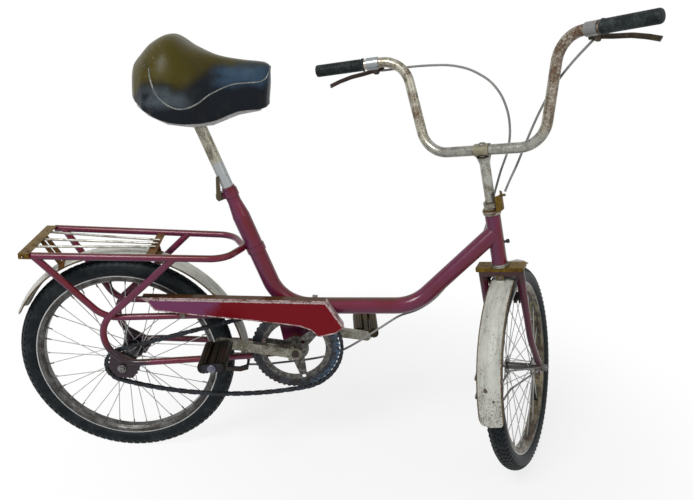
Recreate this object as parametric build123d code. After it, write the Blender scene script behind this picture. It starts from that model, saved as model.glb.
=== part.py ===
from build123d import *
import os
from math import asin, atan2, cos, degrees, pi, radians, sin, sqrt, tan

# A small-wheel step-through bicycle with a rear carrier, in millimetres.
# It is drawn with the rear axle at (0, 0, 0), X forward, Y to the left and Z up.
# The last lines move every piece so that the origin is the sitting point on the saddle.

# ---------------------------------------------------------------- driving dimensions
# wheels
rim_flange_r = 208.5
rim_depth = 16.0
rim_width = 27.0
rim_wall = 2.0
tyre_seat = 15.2
tyre_section_r = 22.3
spoke_count = 36
spoke_r = 1.0
spoke_cross = 3
running_gap = 0.05
front_shell_r = 9.0
front_flange_r = 19.0
front_flange_y = 31.0
front_axle_r = 4.5
front_axle_half = 66.0
front_drop_y = 49.0
rear_shell_r = 17.0
rear_flange_r = 25.0
rear_flange_y = 29.0
rear_axle_r = 5.0
rear_axle_half = 66.0
hub_flange_t = 3.0
hub_neck = 3.0
drop_t = 4.0
nut_r = 8.0
nut_t = 8.0

# main frame
wheelbase = 955.8
main_tube_r = 19.0
tube_wall = 1.6
main_bend_r = 100.0
seat_lean = 24.0
seat_foot = (354.0, 146.8)
keel_rise = 2.8
keel_length = 303.0
seat_sleeve_r = 14.5
seat_sleeve_length = 36.0
seat_taper_length = 34.0
seat_tube_length = 302.0
head_lean = 16.15
fork_rake = 34.5
head_tube_r = 17.0
head_tube_length = 119.0
head_peg_up = 47.0
head_cup_depth = 7.0
steerer_r = 12.7
down_tube_up = 75.0

# crank bracket
bb_x = 390.0
bb_z = 61.4
bb_shell_r = 22.0
bb_shell_half = 34.0
bracket_half = 17.0
bracket_r = 28.0
bracket_top_rear = -44.0
bracket_top_front = 55.0
bracket_lap = 8.0
spindle_r = 8.0

# rear stays and carrier
stay_r = 7.5
stay_y = 56.0
upper_stay_y = 47.5
stay_bracket = (388.0, 15.0, 37.9)
stay_waist = (272.0, 35.0)
stay_knee = (62.0, 18.0)
loop_bend_r = 69.0
loop_apex = (-161.3, -4.1)
loop_top = (-12.0, 137.5)
upper_front = (374.0, 13.0, 144.0)
upper_waist_x = 238.0
upper_waist_y = 36.0
upper_joint = (-34.0, 121.5)
upper_bend_r = 62.0
upper_top_x = -157.0
lower_top_x = 130.0
rail_rear_x = -176.0
rail_rear_y = 85.5
rail_front_x = 267.0
rail_front_y = 74.0
rail_gap = 11.0
rail_rise = 8.5
rail_bend_r = 52.0
rail_nose_bend_r = 30.0
rail_corner_back = 34.0
plate_t = 1.5
end_plate_skew = 3.0
end_plate_length = 22.0
end_plate_left = 77.5
end_plate_right = 97.0
end_plate_fold = 12.0
crossbar_x = 64.0
crossbar_length = 18.0
wire_r = 2.6
wire_rear_y = 46.0
wire_front_y = 20.0
hoop_width = 16.0
hoop_t = 1.5
rear_hoop_at = 121.0
front_hoop_at = 75.5
clip_height = 14.0
bridge_gap = 22.0
bridge_r = 6.0

# drive
chain_y = -43.0
chain_pitch = 12.7
ring_teeth = 52
sprocket_teeth = 20
plate_half_depth = 4.3
plate_waist = 3.1
roller_r = 4.0
chain_core = 6.6
chain_width = 9.0
tooth_gap = 0.4
tooth_depth = 3.6
ring_t = 2.6
ring_band = 24.0
spider_band = 13.0
spider_arm = 17.0
spider_turn = 47.0
spider_hole_r = 4.5
sag_r = 830.0
crank_length = 170.0
crank_angle = 6.3
crank_inner_y = 57.0
crank_t = 13.0
crank_boss_r = 15.0
crank_eye_r = 10.0
cotter_r = 4.6
cotter_half = 19.0
pedal_axle_r = 6.0
pedal_inner_y = 76.0
pedal_width = 96.0
pedal_length = 61.0
pedal_t = 26.0
pedal_round = 11.0
pedal_tilt = 9.0
pedal_slot = 11.0
pedal_sleeve_r = 9.5
groove_depth = 1.6
guard_y = -51.5
guard_t = 1.2
guard_depth = 23.0
guard_rear_strap_x = 137.0
guard_front_strap_x = 428.0
strap_width = 12.0

# seat
post_r = 12.7
post_gap = 0.1
post_in = 70.0
clamp_t = 2.2
clamp_drop = 14.0
clamp_ear_y = 7.5
lever_length = 44.0
sit_x = 165.0
sit_z = 708.0
saddle_rear_x = 46.0
saddle_nose_x = 318.0
saddle_round = 2.66
pan_inset = 0.86
pan_t = 12.0
pan_lap = 2.5
socket_low = 552.0
# station along the saddle (0 at the rear, 1 at the nose), half width, top and hem heights
saddle_stations = [
    (0.008, 24.0, 660.0, 611.0),
    (0.06, 65.0, 682.0, 602.0),
    (0.16, 92.5, 711.0, 588.0),
    (0.30, 104.7, 728.0, 575.0),
    (0.45, 95.9, 707.5, 571.0),
    (0.60, 54.8, 692.5, 571.5),
    (0.78, 40.5, 686.3, 593.0),
    (0.94, 35.4, 684.8, 603.5),
    (0.995, 16.0, 678.0, 610.0),
]

# fenders
fender_t = 1.0
fender_half = 27.0
fender_crown = 9.0
fender_bead_r = 1.7
rear_fender_gap = 26.0
rear_fender_shift = 10.0
rear_fender_span = (10.5, 156.0)
front_fender_gap = 16.0
front_fender_span = (66.0, 176.0)
fender_stay_r = 2.2
fender_stay_at = (153.0, 162.0)
fender_eye_t = 5.8

# steering
steer_turn = 62.0
bar_turn = 56.5
blade_top_y = 42.0
blade_r = 10.5
blade_tip_r = 7.5
blade_knee_h = 98.0
crown_gap = 22.0
crown_depth = 14.0
crown_half = 12.5
cap_front = 20.0
cap_side = 54.0
cap_up = 8.0
head_gap = 16.0
quill_r = 11.1
stem_lug_r = 14.0
stem_lug_half = 16.0
stem_up = 144.2
stem_clamp_f = -1.2
bar_r = 11.1
bar_half_base = 129.6
riser_corner = (47.2, 170.3, 203.1)
grip_end = (-21.0, 353.9, 215.6)
bar_bend_r = 60.0
grip_r = 13.4
grip_length = 112.0
lever_band_at = 70.0
lever_band_half = 13.0
lever_blade_width = 11.0
lever_blade_t = 4.0

# brakes and their cables
pad_gap = 5.0
pad_t = 7.5
pad_length = 34.0
pad_depth = 9.0
arm_t = 5.0
cable_r = 2.5
hanger_r = 27.0
hanger_t = 2.0
hanger_reach = 33.0
hanger_height = 36.0

# ---------------------------------------------------------------- places worked out from them
tyre_core_r = rim_flange_r + tyre_seat
tyre_outer_r = tyre_core_r + tyre_section_r
front_fender_r = tyre_outer_r + front_fender_gap
rear_fender_r = tyre_outer_r + rear_fender_gap
crown_h = front_fender_r + crown_gap
head_tube_low = crown_h + head_gap
head_tube_high = head_tube_low + head_tube_length
stem_clamp_h = head_tube_high + stem_up
rail_z = rear_fender_r + rail_gap
bridge_x = tyre_outer_r + bridge_gap
lean = radians(head_lean)
axis_up = Vector(-sin(lean), 0, cos(lean))
axis_forward = Vector(cos(lean), 0, sin(lean))
steer_foot = Vector(wheelbase, 0, 0) - axis_forward * fork_rake
head_frame = Plane(origin=steer_foot, x_dir=axis_forward, z_dir=axis_up)


def turned(angle):
    """The head frame turned to the left about the steering axis."""
    way = axis_forward * cos(radians(angle)) + Vector(0, sin(radians(angle)), 0)
    return Plane(origin=steer_foot, x_dir=way, z_dir=axis_up)


steer_frame = turned(steer_turn)
bar_frame = turned(bar_turn)
seat_up = Vector(-sin(radians(seat_lean)), 0, cos(radians(seat_lean)))
keel = Vector(cos(radians(keel_rise)), 0, sin(radians(keel_rise)))
foot = Vector(seat_foot[0], 0, seat_foot[1])
seat_top = foot + seat_up * seat_tube_length
keel_front = foot + keel * keel_length
head_joint = steer_foot + axis_up * (head_tube_low + down_tube_up)
ring_pitch_r = chain_pitch / 2 / sin(pi / ring_teeth)
sprocket_pitch_r = chain_pitch / 2 / sin(pi / sprocket_teeth)
bar_base = Vector(stem_clamp_f, 0, stem_clamp_h)
sit_point = Vector(sit_x, 0, sit_z)


# ---------------------------------------------------------------- small helpers
def rod(start, end, radius):
    """A round bar between two points."""
    a = Vector(start)
    b = Vector(end)
    return extrude(Plane(origin=a, z_dir=b - a) * Circle(radius), amount=(b - a).length)


def bent_tube(points, radii, radius, wall=0.0):
    """A round tube whose centre line runs through points, with a bend at each inner one."""
    path = FilletPolyline(*points, radius=radii)
    section = Plane(origin=path @ 0, z_dir=path % 0) * Circle(radius)
    if wall:
        section -= Plane(origin=path @ 0, z_dir=path % 0) * Circle(radius - wall)
    return sweep(section, path=path)


def side_plate(points, y_low, y_high):
    """A flat plate with its outline in the side view and its thickness across the bicycle."""
    return side_solid(make_face(Polyline(*points, close=True)), y_low, y_high)


def side_solid(face, y_low, y_high):
    """A face drawn in the side view, given its thickness across the bicycle."""
    return Pos(0, y_high, 0) * extrude(Plane.XZ * face, amount=y_high - y_low)


def disc(x, z, radius, y_low, y_high):
    """A round disc on an axis across the bicycle."""
    return rod((x, y_low, z), (x, y_high, z), radius)


def block(low, high):
    """A rectangular block between two corners."""
    size = [b - a for a, b in zip(low, high)]
    middle = [(a + b) / 2 for a, b in zip(low, high)]
    return Pos(*middle) * Box(*size)


def other_side(shape):
    return mirror(shape, about=Plane.XZ)


def biggest(shape):
    """The main solid of a cut, without the scraps that the cut leaves inside its neighbour."""
    return shape.solids().sort_by(SortBy.VOLUME)[-1]


def cable(name, points):
    """A brake cable along its route, each bend as large as its two runs allow."""
    route = [Vector(p) for p in points]
    radii = []
    for before, at, after in zip(route, route[1:], route[2:]):
        half_turn = radians((at - before).get_angle(after - at)) / 2
        radii.append(0.45 * min((at - before).length, (after - at).length) / tan(half_turn))
    print(name, "bend radii", [round(r) for r in radii])
    return bent_tube(route, radii, cable_r)


# ---------------------------------------------------------------- frame
def seat_bore():
    """The hole for the seat post, down the seat end of the main tube."""
    low = seat_top - seat_up * (seat_sleeve_length + post_in)
    return rod(low, seat_top + seat_up * seat_sleeve_length, post_r + post_gap)


def main_tube():
    """The one bent main tube: seat tube, keel and down tube, swaged at its seat end."""
    swage = seat_top - seat_up * (seat_sleeve_length + seat_taper_length)
    body = bent_tube([swage, foot, keel_front, head_joint], [main_bend_r, main_bend_r], main_tube_r)
    body -= head_envelope()
    sleeve_low = seat_top - seat_up * seat_sleeve_length
    big = Plane(origin=swage, z_dir=seat_up) * Circle(main_tube_r)
    small = Plane(origin=sleeve_low, z_dir=seat_up) * Circle(seat_sleeve_r)
    body += loft([big, small])
    body += rod(sleeve_low, seat_top, seat_sleeve_r)
    return body - seat_bore()


def head_envelope():
    return rod(steer_foot + axis_up * head_tube_low, steer_foot + axis_up * head_tube_high, head_tube_r)


def head_tube():
    """The head tube, open right through for the fork's steerer."""
    bore = rod(steer_foot + axis_up * (head_tube_low - 1), steer_foot + axis_up * (head_tube_high + 1),
               head_tube_r - tube_wall)
    return head_envelope() - bore


def ring_about_axis(frame, radius, inner, low, high):
    """A round collar about the steering axis."""
    collar = Pos(0, 0, (low + high) / 2) * Cylinder(radius, high - low)
    collar -= Pos(0, 0, (low + high) / 2) * Cylinder(inner, high - low + 2)
    return frame * collar


def head_cups():
    """The two bearing cups pressed over the ends of the head tube."""
    inner = steerer_r + 0.4
    low, high = head_tube_low, head_tube_high
    lower = ring_about_axis(head_frame, head_tube_r + 1.5, inner, low - head_cup_depth, low)
    upper = ring_about_axis(head_frame, head_tube_r + 2.5, inner, high, high + head_cup_depth + 2)
    return Compound([lower, upper])


def head_peg():
    """The short peg on the front of the head tube."""
    at = steer_foot + axis_up * (head_tube_low + head_peg_up)
    stalk = rod(at + axis_forward * (head_tube_r - 0.2), at + axis_forward * (head_tube_r + 5), 3.0)
    knob = rod(at + axis_forward * (head_tube_r + 5), at + axis_forward * (head_tube_r + 11), 4.6)
    return (stalk + knob) - head_envelope()


def cable_hanger():
    """The brake cable's hanger: a washer under the locknut and a curved upright flap."""
    low = head_tube_high + head_cup_depth + 2
    washer = ring_about_axis(head_frame, head_tube_r + 2.0, quill_r + 3.2, low, low + hanger_t)
    sector = make_face(Polyline((0, 0), (12, -60), (60, -60), (60, 22), close=True))
    flap = extrude(sector & (Circle(hanger_r) - Circle(hanger_r - hanger_t)), amount=hanger_height)
    floor = extrude(sector & (Circle(hanger_r) - Circle(head_tube_r + 1.0)), amount=hanger_t)
    stop = hanger_height - 9
    seat = block((hanger_r - 1.5, -9, stop), (hanger_reach, 3, stop + hanger_t))
    hanger = head_frame * Pos(0, 0, low) * (flap + floor + seat)
    return washer + hanger


def keel_z(x):
    """Height of the keel's centre line at x."""
    return foot.Z + (x - foot.X) * tan(radians(keel_rise))


def bottom_bracket():
    """The crank bracket: a gusset hung from the keel and wrapped round the bearing shell."""
    top = keel_z(bb_x) - bracket_lap
    low = keel_z(bb_x) - main_tube_r - bracket_lap + 1
    outline = make_hull([
        Pos(bb_x, bb_z) * Circle(bracket_r).edge(),
        *Polyline(
            (bb_x + bracket_top_rear, top),
            (bb_x + bracket_top_rear, low),
            (bb_x + bracket_top_front, low),
            (bb_x + bracket_top_front, top),
            close=True,
        ).edges(),
    ])
    gusset = side_solid(outline, -bracket_half, bracket_half)
    body = gusset + disc(bb_x, bb_z, bb_shell_r, -bb_shell_half, bb_shell_half)
    body -= keel_envelope()
    return body - disc(bb_x, bb_z, spindle_r + running_gap, -bb_shell_half - 1, bb_shell_half + 1)


def keel_envelope():
    return bent_tube(
        [seat_top - seat_up * 100, foot, keel_front, head_joint], [main_bend_r, main_bend_r], main_tube_r)


def drop_plate(y):
    """A rear drop-out plate, under the bend of the stay."""
    outline = [(-22, 48), (-30, 0), (-12, -24), (23, -25), (45, 13), (20, 26)]
    return side_plate(outline, y - drop_t / 2, y + drop_t / 2)


def stay_height(x):
    """Height of the lower stay's straight run at x."""
    share = (x - stay_knee[0]) / (stay_bracket[0] - stay_knee[0])
    return stay_knee[1] + share * (stay_bracket[2] - stay_knee[1])


def stay_y_at(x):
    """Distance of the lower stay's centre line from the middle plane at x, behind its waist."""
    share = (stay_waist[0] - x) / (stay_waist[0] - stay_knee[0])
    return stay_waist[1] + share * (stay_y - stay_waist[1])


def upper_stay_y_at(x):
    """Distance of the upper stay's centre line from the middle plane at x, behind its waist."""
    share = (upper_waist_x - x) / (upper_waist_x - upper_joint[0])
    return upper_waist_y + share * (upper_stay_y - upper_waist_y)


def upper_stay_height(x):
    rise = (upper_front[2] - upper_joint[1]) / (upper_front[0] - upper_joint[0])
    return upper_joint[1] + rise * (x - upper_joint[0])


def rail_point(x, side):
    """A point of the carrier rail's centre line on one side, at x."""
    share = (x - rail_rear_x) / (rail_front_x - rail_corner_back - rail_rear_x)
    y = rail_rear_y + share * (rail_front_y - rail_rear_y)
    return (x, side * y, rail_z - 6 + share * rail_rise)


def lower_stay():
    """The right lower stay: from the crank bracket back, round the axle and up to the carrier."""
    y = -stay_y
    points = [
        (stay_bracket[0], -stay_bracket[1], stay_bracket[2]),
        (stay_waist[0], -stay_waist[1], stay_height(stay_waist[0])),
        (stay_knee[0], y, stay_knee[1]),
        (loop_apex[0], y, loop_apex[1]),
        (loop_top[0], y, loop_top[1]),
        rail_point(lower_top_x, -1),
    ]
    body = bent_tube(points, [60.0, 100.0, loop_bend_r, 60.0], stay_r)
    body += drop_plate(y)
    body -= disc(0, 0, rear_axle_r + running_gap, y - 10, y + 10)
    body -= bottom_bracket_solid
    return biggest(body - rail_solid)


def upper_stay():
    """The right upper stay: level from the keel to the joint, then up to the carrier's rear."""
    points = [
        (upper_front[0], -upper_front[1], upper_front[2]),
        (upper_waist_x, -upper_waist_y, upper_stay_height(upper_waist_x)),
        (upper_joint[0], -upper_stay_y, upper_joint[1]),
        rail_point(upper_top_x, -1),
    ]
    body = bent_tube(points, [60.0, upper_bend_r], stay_r)
    body -= keel_envelope()
    body -= bottom_bracket_solid
    body -= rail_solid
    return biggest(body - lower_stay_solid)


def stay_bridge():
    """The bar between the lower stays, ahead of the tyre."""
    y_at = stay_y_at(bridge_x)
    z_at = stay_height(bridge_x)
    bar = rod((bridge_x, -y_at, z_at), (bridge_x, y_at, z_at), bridge_r)
    return bar - lower_stay_solid - other_side(lower_stay_solid)


# ---------------------------------------------------------------- carrier
def rack_rail():
    """The carrier's one bent rail: two sides and the nose that meets the seat tube."""
    corner = rail_front_x - rail_corner_back
    right = [rail_point(rail_rear_x, -1), rail_point(corner, -1)]
    left = [rail_point(corner, 1), rail_point(rail_rear_x, 1)]
    nose = (rail_front_x, 0, right[1][2] + 0.5)
    body = bent_tube([*right, nose, *left], [rail_bend_r, rail_nose_bend_r, rail_bend_r], stay_r)
    return body - keel_envelope()


def skewed(shape, x):
    """Turns a crosswise piece of the carrier a little, its right end forward."""
    return Pos(x, 0, 0) * Rot(0, 0, end_plate_skew) * Pos(-x, 0, 0) * shape


def rack_end_plate():
    """The flat plate across the rear ends of the rails, its right end folded down and drilled."""
    top = rail_point(rail_rear_x, 1)[2] + stay_r + plate_t
    rear = rail_rear_x - end_plate_length / 2
    front = rail_rear_x + end_plate_length / 2
    plate = block((rear, -end_plate_right, top - plate_t), (front, end_plate_left, top))
    plate += block((rear, -end_plate_right, top - end_plate_fold), (front, -end_plate_right + plate_t, top))
    plate += block((rear, -end_plate_right, top - end_plate_fold), (rear + plate_t, end_plate_left, top))
    edge = -end_plate_right
    hole = disc(rail_rear_x - 2, top - end_plate_fold / 2 - 1, 3.0, edge - 2, edge + 4)
    return biggest(skewed(plate - hole, rail_rear_x) - rail_solid)


def rack_crossbar():
    """The flat bar across the carrier, ahead of the wires."""
    half = rail_rear_y
    z = rail_point(crossbar_x, 1)[2]
    bar = block((crossbar_x, -half, z - 1), (crossbar_x + crossbar_length, half, z - 1 + plate_t))
    return biggest(skewed(bar, crossbar_x) - rail_solid)


def rack_wires():
    """Three lengthwise rods of the carrier's deck, closer together at the front."""
    rear_z = rail_point(rail_rear_x, 1)[2] + stay_r - wire_r - 0.15
    front_x = crossbar_x + crossbar_length - 4
    front_z = rail_point(crossbar_x, 1)[2] - 1 + plate_t + wire_r + 0.2
    rods = []
    for share in (-1, 0, 1):
        start = (rail_rear_x - 5, share * wire_rear_y, rear_z)
        rods.append(rod(start, (front_x, share * wire_front_y, front_z), wire_r))
    return Compound(rods)


def fender_band(at, width):
    """A strap bent over the rear fender, with its middle at an angle from straight ahead."""
    half_angle = degrees(width / 2 / rear_fender_r)
    outer = fender_profile(rear_fender_r + hoop_t, fender_half + 2, fender_crown + 0.6, hoop_t, 0)
    return Pos(rear_fender_shift, 0, 0) * arc_of(outer, (at - half_angle, at + half_angle))


def rack_hoops():
    """The two straps that hang the rear fender from the carrier."""
    hoops = []
    for at, top_x, top_z in (
            (rear_hoop_at, rail_rear_x + 7, rail_point(rail_rear_x, 1)[2] + stay_r),
            (front_hoop_at, crossbar_x + crossbar_length / 2, rail_point(crossbar_x, 1)[2] - 1)):
        x = rear_fender_shift + rear_fender_r * cos(radians(at))
        z = rear_fender_r * sin(radians(at))
        hoop = fender_band(at, hoop_width)
        inside = Pos(rear_fender_shift, 0, 0) * rod((0, -40, 0), (0, 40, 0), rear_fender_r + 0.2)
        for low, high in ((-15, -8), (8, 15)):
            leg = side_plate(
                [(x - 5, z - 6), (x + 5, z - 6), (top_x + 4, top_z), (top_x - 4, top_z)], low, high)
            hoop += leg - inside
        hoops.append(biggest(hoop - rear_fender_solid))
    return Compound(hoops)


def rack_clip():
    """The clip that ties the rail's nose to the seat tube."""
    nose_z = rail_point(rail_front_x - rail_corner_back, 1)[2]
    at = foot + seat_up * ((nose_z - foot.Z) / seat_up.Z)
    low = at - seat_up * clip_height / 2
    high = at + seat_up * clip_height / 2
    band = rod(low, high, main_tube_r + clamp_t) - rod(low - seat_up, high + seat_up, main_tube_r)
    return biggest(band - rail_solid)


# ---------------------------------------------------------------- seat
def seat_clamp():
    """The clamp on the seat sleeve, with its two ears, bolt, nut and quick lever."""
    middle = seat_top - seat_up * clamp_drop
    back = Vector(-cos(radians(seat_lean)), 0, -sin(radians(seat_lean)))
    reach = seat_sleeve_r + clamp_t
    body = rod(middle - seat_up * 8, middle + seat_up * 8, reach)
    for side in (-1, 1):
        at = middle + back * (reach + 5) + Vector(0, side * (clamp_ear_y - 1.5), 0)
        body += Plane(origin=at, x_dir=back, z_dir=seat_up) * Box(17, 3, 16)
    bolt = middle + back * (reach + 8)
    across = Vector(0, 1, 0)
    body += rod(bolt - across * (clamp_ear_y + 7), bolt + across * (clamp_ear_y + 6.5), 3.0)
    body += rod(bolt + across * (clamp_ear_y - 0.5), bolt + across * (clamp_ear_y + 5), 5.6)
    body += rod(bolt - across * (clamp_ear_y + 3.4), bolt - across * (clamp_ear_y - 0.5), 6.7)
    lever_y = -clamp_ear_y - 4.5
    tip = Vector(bolt.X - 3, 0, bolt.Z + lever_length)
    outline = make_hull([Pos(bolt.X, bolt.Z) * Circle(5.5).edge(), Pos(tip.X, tip.Z) * Circle(3.2).edge()])
    body += side_solid(outline, lever_y - 1.5, lever_y + 1.5)
    return body - rod(middle - seat_up * 60, middle + seat_up * 60, seat_sleeve_r)


def seatpost():
    low = seat_top - seat_up * (seat_sleeve_length + post_in - 2)
    high_z = socket_low + pan_t
    high = seat_top + seat_up * ((high_z - seat_top.Z) / seat_up.Z)
    return rod(low, high, post_r)


def saddle_section(x, half, top, hem):
    """One crosswise section of the saddle: a rounded arch over a flat hem."""
    points = []
    for step in range(-3, 4):
        phi = radians(30 * step)
        wide = abs(sin(phi)) ** (2 / saddle_round)
        high = max(cos(phi), 0.0) ** (2 / saddle_round)
        points.append((x, (half * wide if step > 0 else -half * wide), hem + (top - hem) * high))
    arch = Spline(*points, tangents=[(0, 0, 1), (0, 0, -1)])
    return make_face([arch, Line(arch @ 1, arch @ 0)])


def saddle_x(station):
    return saddle_rear_x + station * (saddle_nose_x - saddle_rear_x)


def saddle_cover():
    """The padded cover, lofted through its stations from tail to nose."""
    return loft([saddle_section(saddle_x(t), half, top, hem) for t, half, top, hem in saddle_stations])


def saddle_pan():
    """The stiff pan under the cover, with the socket for the seat post."""
    sections = []
    for t, half, _, hem in saddle_stations[1:-1]:
        inner = half * pan_inset
        corners = [(saddle_x(t), -inner, hem + pan_lap), (saddle_x(t), inner, hem + pan_lap),
                   (saddle_x(t), inner * pan_inset, hem - pan_t),
                   (saddle_x(t), -inner * pan_inset, hem - pan_t)]
        sections.append(make_face(Polyline(*corners, close=True)))
    pan = biggest(loft(sections, ruled=True) - saddle_cover_solid)
    low = seat_top + seat_up * ((socket_low - seat_top.Z) / seat_up.Z)
    high = seat_top + seat_up * ((socket_low + 2 * pan_t - seat_top.Z) / seat_up.Z)
    above = Pos(0, 0, socket_low + 1.5 * pan_t) * block((0, -60, 0), (400, 60, 60))
    pan += rod(low, high, post_r + 4) - above
    return pan - rod(seat_top, seat_top + seat_up * (socket_low + pan_t - seat_top.Z) / seat_up.Z, post_r)


# ---------------------------------------------------------------- wheels
def about_y(face):
    """Turns a section, drawn with its radius along X and its width along Y, into a ring."""
    return revolve(face, axis=Axis.Y)


def rim():
    """The rim: a channel with a narrow bed and upright flanges."""
    inner = rim_flange_r - rim_depth
    half = rim_width / 2
    return about_y(make_face(Polyline(
        (inner, -half * 0.55), (inner + 5, -half), (rim_flange_r, -half), (rim_flange_r, -half + rim_wall),
        (inner + 8, -half + rim_wall + 1), (inner + 4.5, -half * 0.35), (inner + 4.5, half * 0.35),
        (inner + 8, half - rim_wall - 1), (rim_flange_r, half - rim_wall), (rim_flange_r, half),
        (inner + 5, half), (inner, half * 0.55), close=True)))


def tyre():
    """The tyre, whole across its section and seated in the rim's well."""
    well = make_face(Polyline(
        (rim_flange_r, -rim_width / 2 + rim_wall), (rim_flange_r, -40), (100, -40), (100, 40),
        (rim_flange_r, 40), (rim_flange_r, rim_width / 2 - rim_wall),
        (rim_flange_r - 7, rim_width / 2 - rim_wall - 1), (rim_flange_r - 7, -rim_width / 2 + rim_wall + 1),
        close=True))
    return about_y(Pos(tyre_core_r, 0) * Circle(tyre_section_r) - well)


def spoke_set(flange_r, flange_y):
    """All spokes of a wheel, crossed and fused later to their hub."""
    per_side = spoke_count // 2
    step = 360 / per_side
    reach = rim_flange_r - rim_depth - 0.25
    spokes = []
    for side in (-1, 1):
        for i in range(per_side):
            sense = 1 if i % 2 else -1
            hole = step * i + (step / 2 if side > 0 else 0)
            goal = hole + sense * (spoke_cross * step * 0.5 + step * 0.5)
            y_flange = side * (flange_y + sense * 1.0)
            start = ((flange_r - 3) * cos(radians(hole)), y_flange, (flange_r - 3) * sin(radians(hole)))
            end = (reach * cos(radians(goal)), side * 3.0, reach * sin(radians(goal)))
            spokes.append(rod(start, end, spoke_r))
    return spokes


def wheel_core(shell_r, flange_r, flange_y, axle_r, half):
    """A hub with two spoke flanges and a bore for its axle, laced to its spokes as one piece."""
    body = disc(0, 0, shell_r, -flange_y, flange_y)
    for side in (-1, 1):
        y = side * flange_y
        body += disc(0, 0, flange_r, y - hub_flange_t / 2, y + hub_flange_t / 2)
    body += disc(0, 0, shell_r - hub_neck, -half, half)
    body -= disc(0, 0, axle_r + running_gap, -half - 1, half + 1)
    return body + spoke_set(flange_r, flange_y)


def axle(radius, half, drop_y):
    """A wheel axle with its two outer nuts."""
    body = disc(0, 0, radius, -half, half)
    for side in (-1, 1):
        low, high = sorted((side * (drop_y + drop_t / 2), side * (drop_y + drop_t / 2 + nut_t)))
        body += side_solid(RegularPolygon(nut_r, 6), low, high)
    return body


# ---------------------------------------------------------------- drive
def toothed_disc(teeth, pitch_r):
    """A toothed disc whose teeth stay inside the chain's rollers."""
    tip = pitch_r - roller_r - tooth_gap
    root = tip - tooth_depth
    points = []
    for i in range(teeth):
        for share, radius in ((-0.36, root), (-0.14, tip), (0.14, tip), (0.36, root)):
            angle = 2 * pi * (i + share) / teeth
            points.append((radius * cos(angle), radius * sin(angle)))
    return side_plate(points, chain_y - ring_t / 2, chain_y + ring_t / 2)


def rear_sprocket():
    """The rear sprocket with the freewheel body that carries it."""
    body = toothed_disc(sprocket_teeth, sprocket_pitch_r)
    body += disc(0, 0, rear_shell_r + 4, chain_y - 3.5, -rear_flange_y - hub_flange_t / 2)
    return body - disc(0, 0, rear_shell_r - hub_neck, chain_y - 20, 0)


def chain_loop():
    """The outline of the chain's centre line, with a slack lower run."""
    small = Vector(0, 0)
    big = Vector(bb_x, bb_z)
    gap = (big - small).length
    heading = atan2(bb_z, bb_x)
    tilt = asin((ring_pitch_r - sprocket_pitch_r) / gap)
    up = heading + pi / 2 + tilt
    top_small = Vector(sprocket_pitch_r * cos(up), sprocket_pitch_r * sin(up))
    top_big = big + Vector(ring_pitch_r * cos(up), ring_pitch_r * sin(up))
    reach_small = sag_r - sprocket_pitch_r
    reach_big = sag_r - ring_pitch_r
    along = (reach_small ** 2 - reach_big ** 2 + gap ** 2) / (2 * gap)
    off = sqrt(reach_small ** 2 - along ** 2)
    middle = Vector(
        along * cos(heading) - off * sin(heading),
        along * sin(heading) + off * cos(heading))
    low_small = small + (small - middle).normalized() * sprocket_pitch_r
    low_big = big + (big - middle).normalized() * ring_pitch_r
    low_mid = middle + ((low_small + low_big) / 2 - middle).normalized() * sag_r
    far = big + Vector(ring_pitch_r, 0)
    rear = small - Vector(sprocket_pitch_r, 0)
    return Wire([
        Line(top_small, top_big),
        ThreePointArc(top_big, far, low_big),
        ThreePointArc(low_big, low_mid, low_small),
        ThreePointArc(low_small, rear, top_small),
    ])


def chain():
    """The drive chain: a waisted core at every pin, and an outer plate pair over every other link."""
    loop = chain_loop()
    pairs = round(loop.length / chain_pitch / 2)
    count = 2 * pairs
    pins = [loop @ (i / count) for i in range(count)]
    outer = []
    inner = []
    plates = []
    for i, pin in enumerate(pins):
        after = pins[(i + 1) % count]
        along = (after - pin).normalized()
        out = Vector(along.Y, -along.X)
        middle = (pin + after) * 0.5
        turn = (pin - pins[i - 1]).normalized() + along
        out_pin = Vector(turn.Y, -turn.X).normalized()
        outer += [pin + out_pin * roller_r, middle + out * plate_waist]
        inner += [pin - out_pin * roller_r, middle - out * plate_waist]
        if i % 2 == 0:
            ends = [pin - along * plate_half_depth, pin + out * plate_half_depth,
                    after + out * plate_half_depth, after + along * plate_half_depth,
                    after - out * plate_half_depth, pin - out * plate_half_depth]
            face = make_face(Polyline(*[(p.X, p.Y) for p in ends], close=True))
            for side in (-1, 1):
                low, high = sorted((chain_y + side * chain_core / 2, chain_y + side * chain_width / 2))
                plates.append(side_solid(face, low, high))
    big = make_face(Polyline(*[(p.X, p.Y) for p in outer], close=True))
    small = make_face(Polyline(*[(p.X, p.Y) for p in inner], close=True))
    if big.area < small.area:
        big, small = small, big
    core = side_solid(big - small, chain_y - chain_core / 2, chain_y + chain_core / 2)
    return core + plates


def chainring():
    """The chainring with its three-armed spider, pierced by three windows and six holes."""
    inner = ring_pitch_r - ring_band
    low = chain_y - ring_t / 2
    high = chain_y + ring_t / 2
    body = toothed_disc(ring_teeth, ring_pitch_r)
    body -= disc(0, 0, inner - spider_band, low - 1, high + 1)
    for k in range(3):
        angle = spider_turn + 120 * k
        arm = make_face(Polyline(
            (0, -spider_arm), (inner - spider_band + 4, -spider_arm * 0.45),
            (inner - spider_band + 4, spider_arm * 0.45), (0, spider_arm), close=True))
        body += side_solid(Rot(0, 0, angle) * arm, low, high)
    body += disc(0, 0, crank_boss_r + 15, low, high)
    for k in range(3):
        for radius, offset in ((crank_boss_r + 8.5, 0), (inner - spider_band / 2, 0)):
            angle = radians(spider_turn + 120 * k + offset)
            body -= disc(radius * cos(angle), radius * sin(angle), spider_hole_r, low - 1, high + 1)
    return Pos(bb_x, 0, bb_z) * (body - disc(0, 0, spindle_r, low - 1, high + 1))


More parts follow.
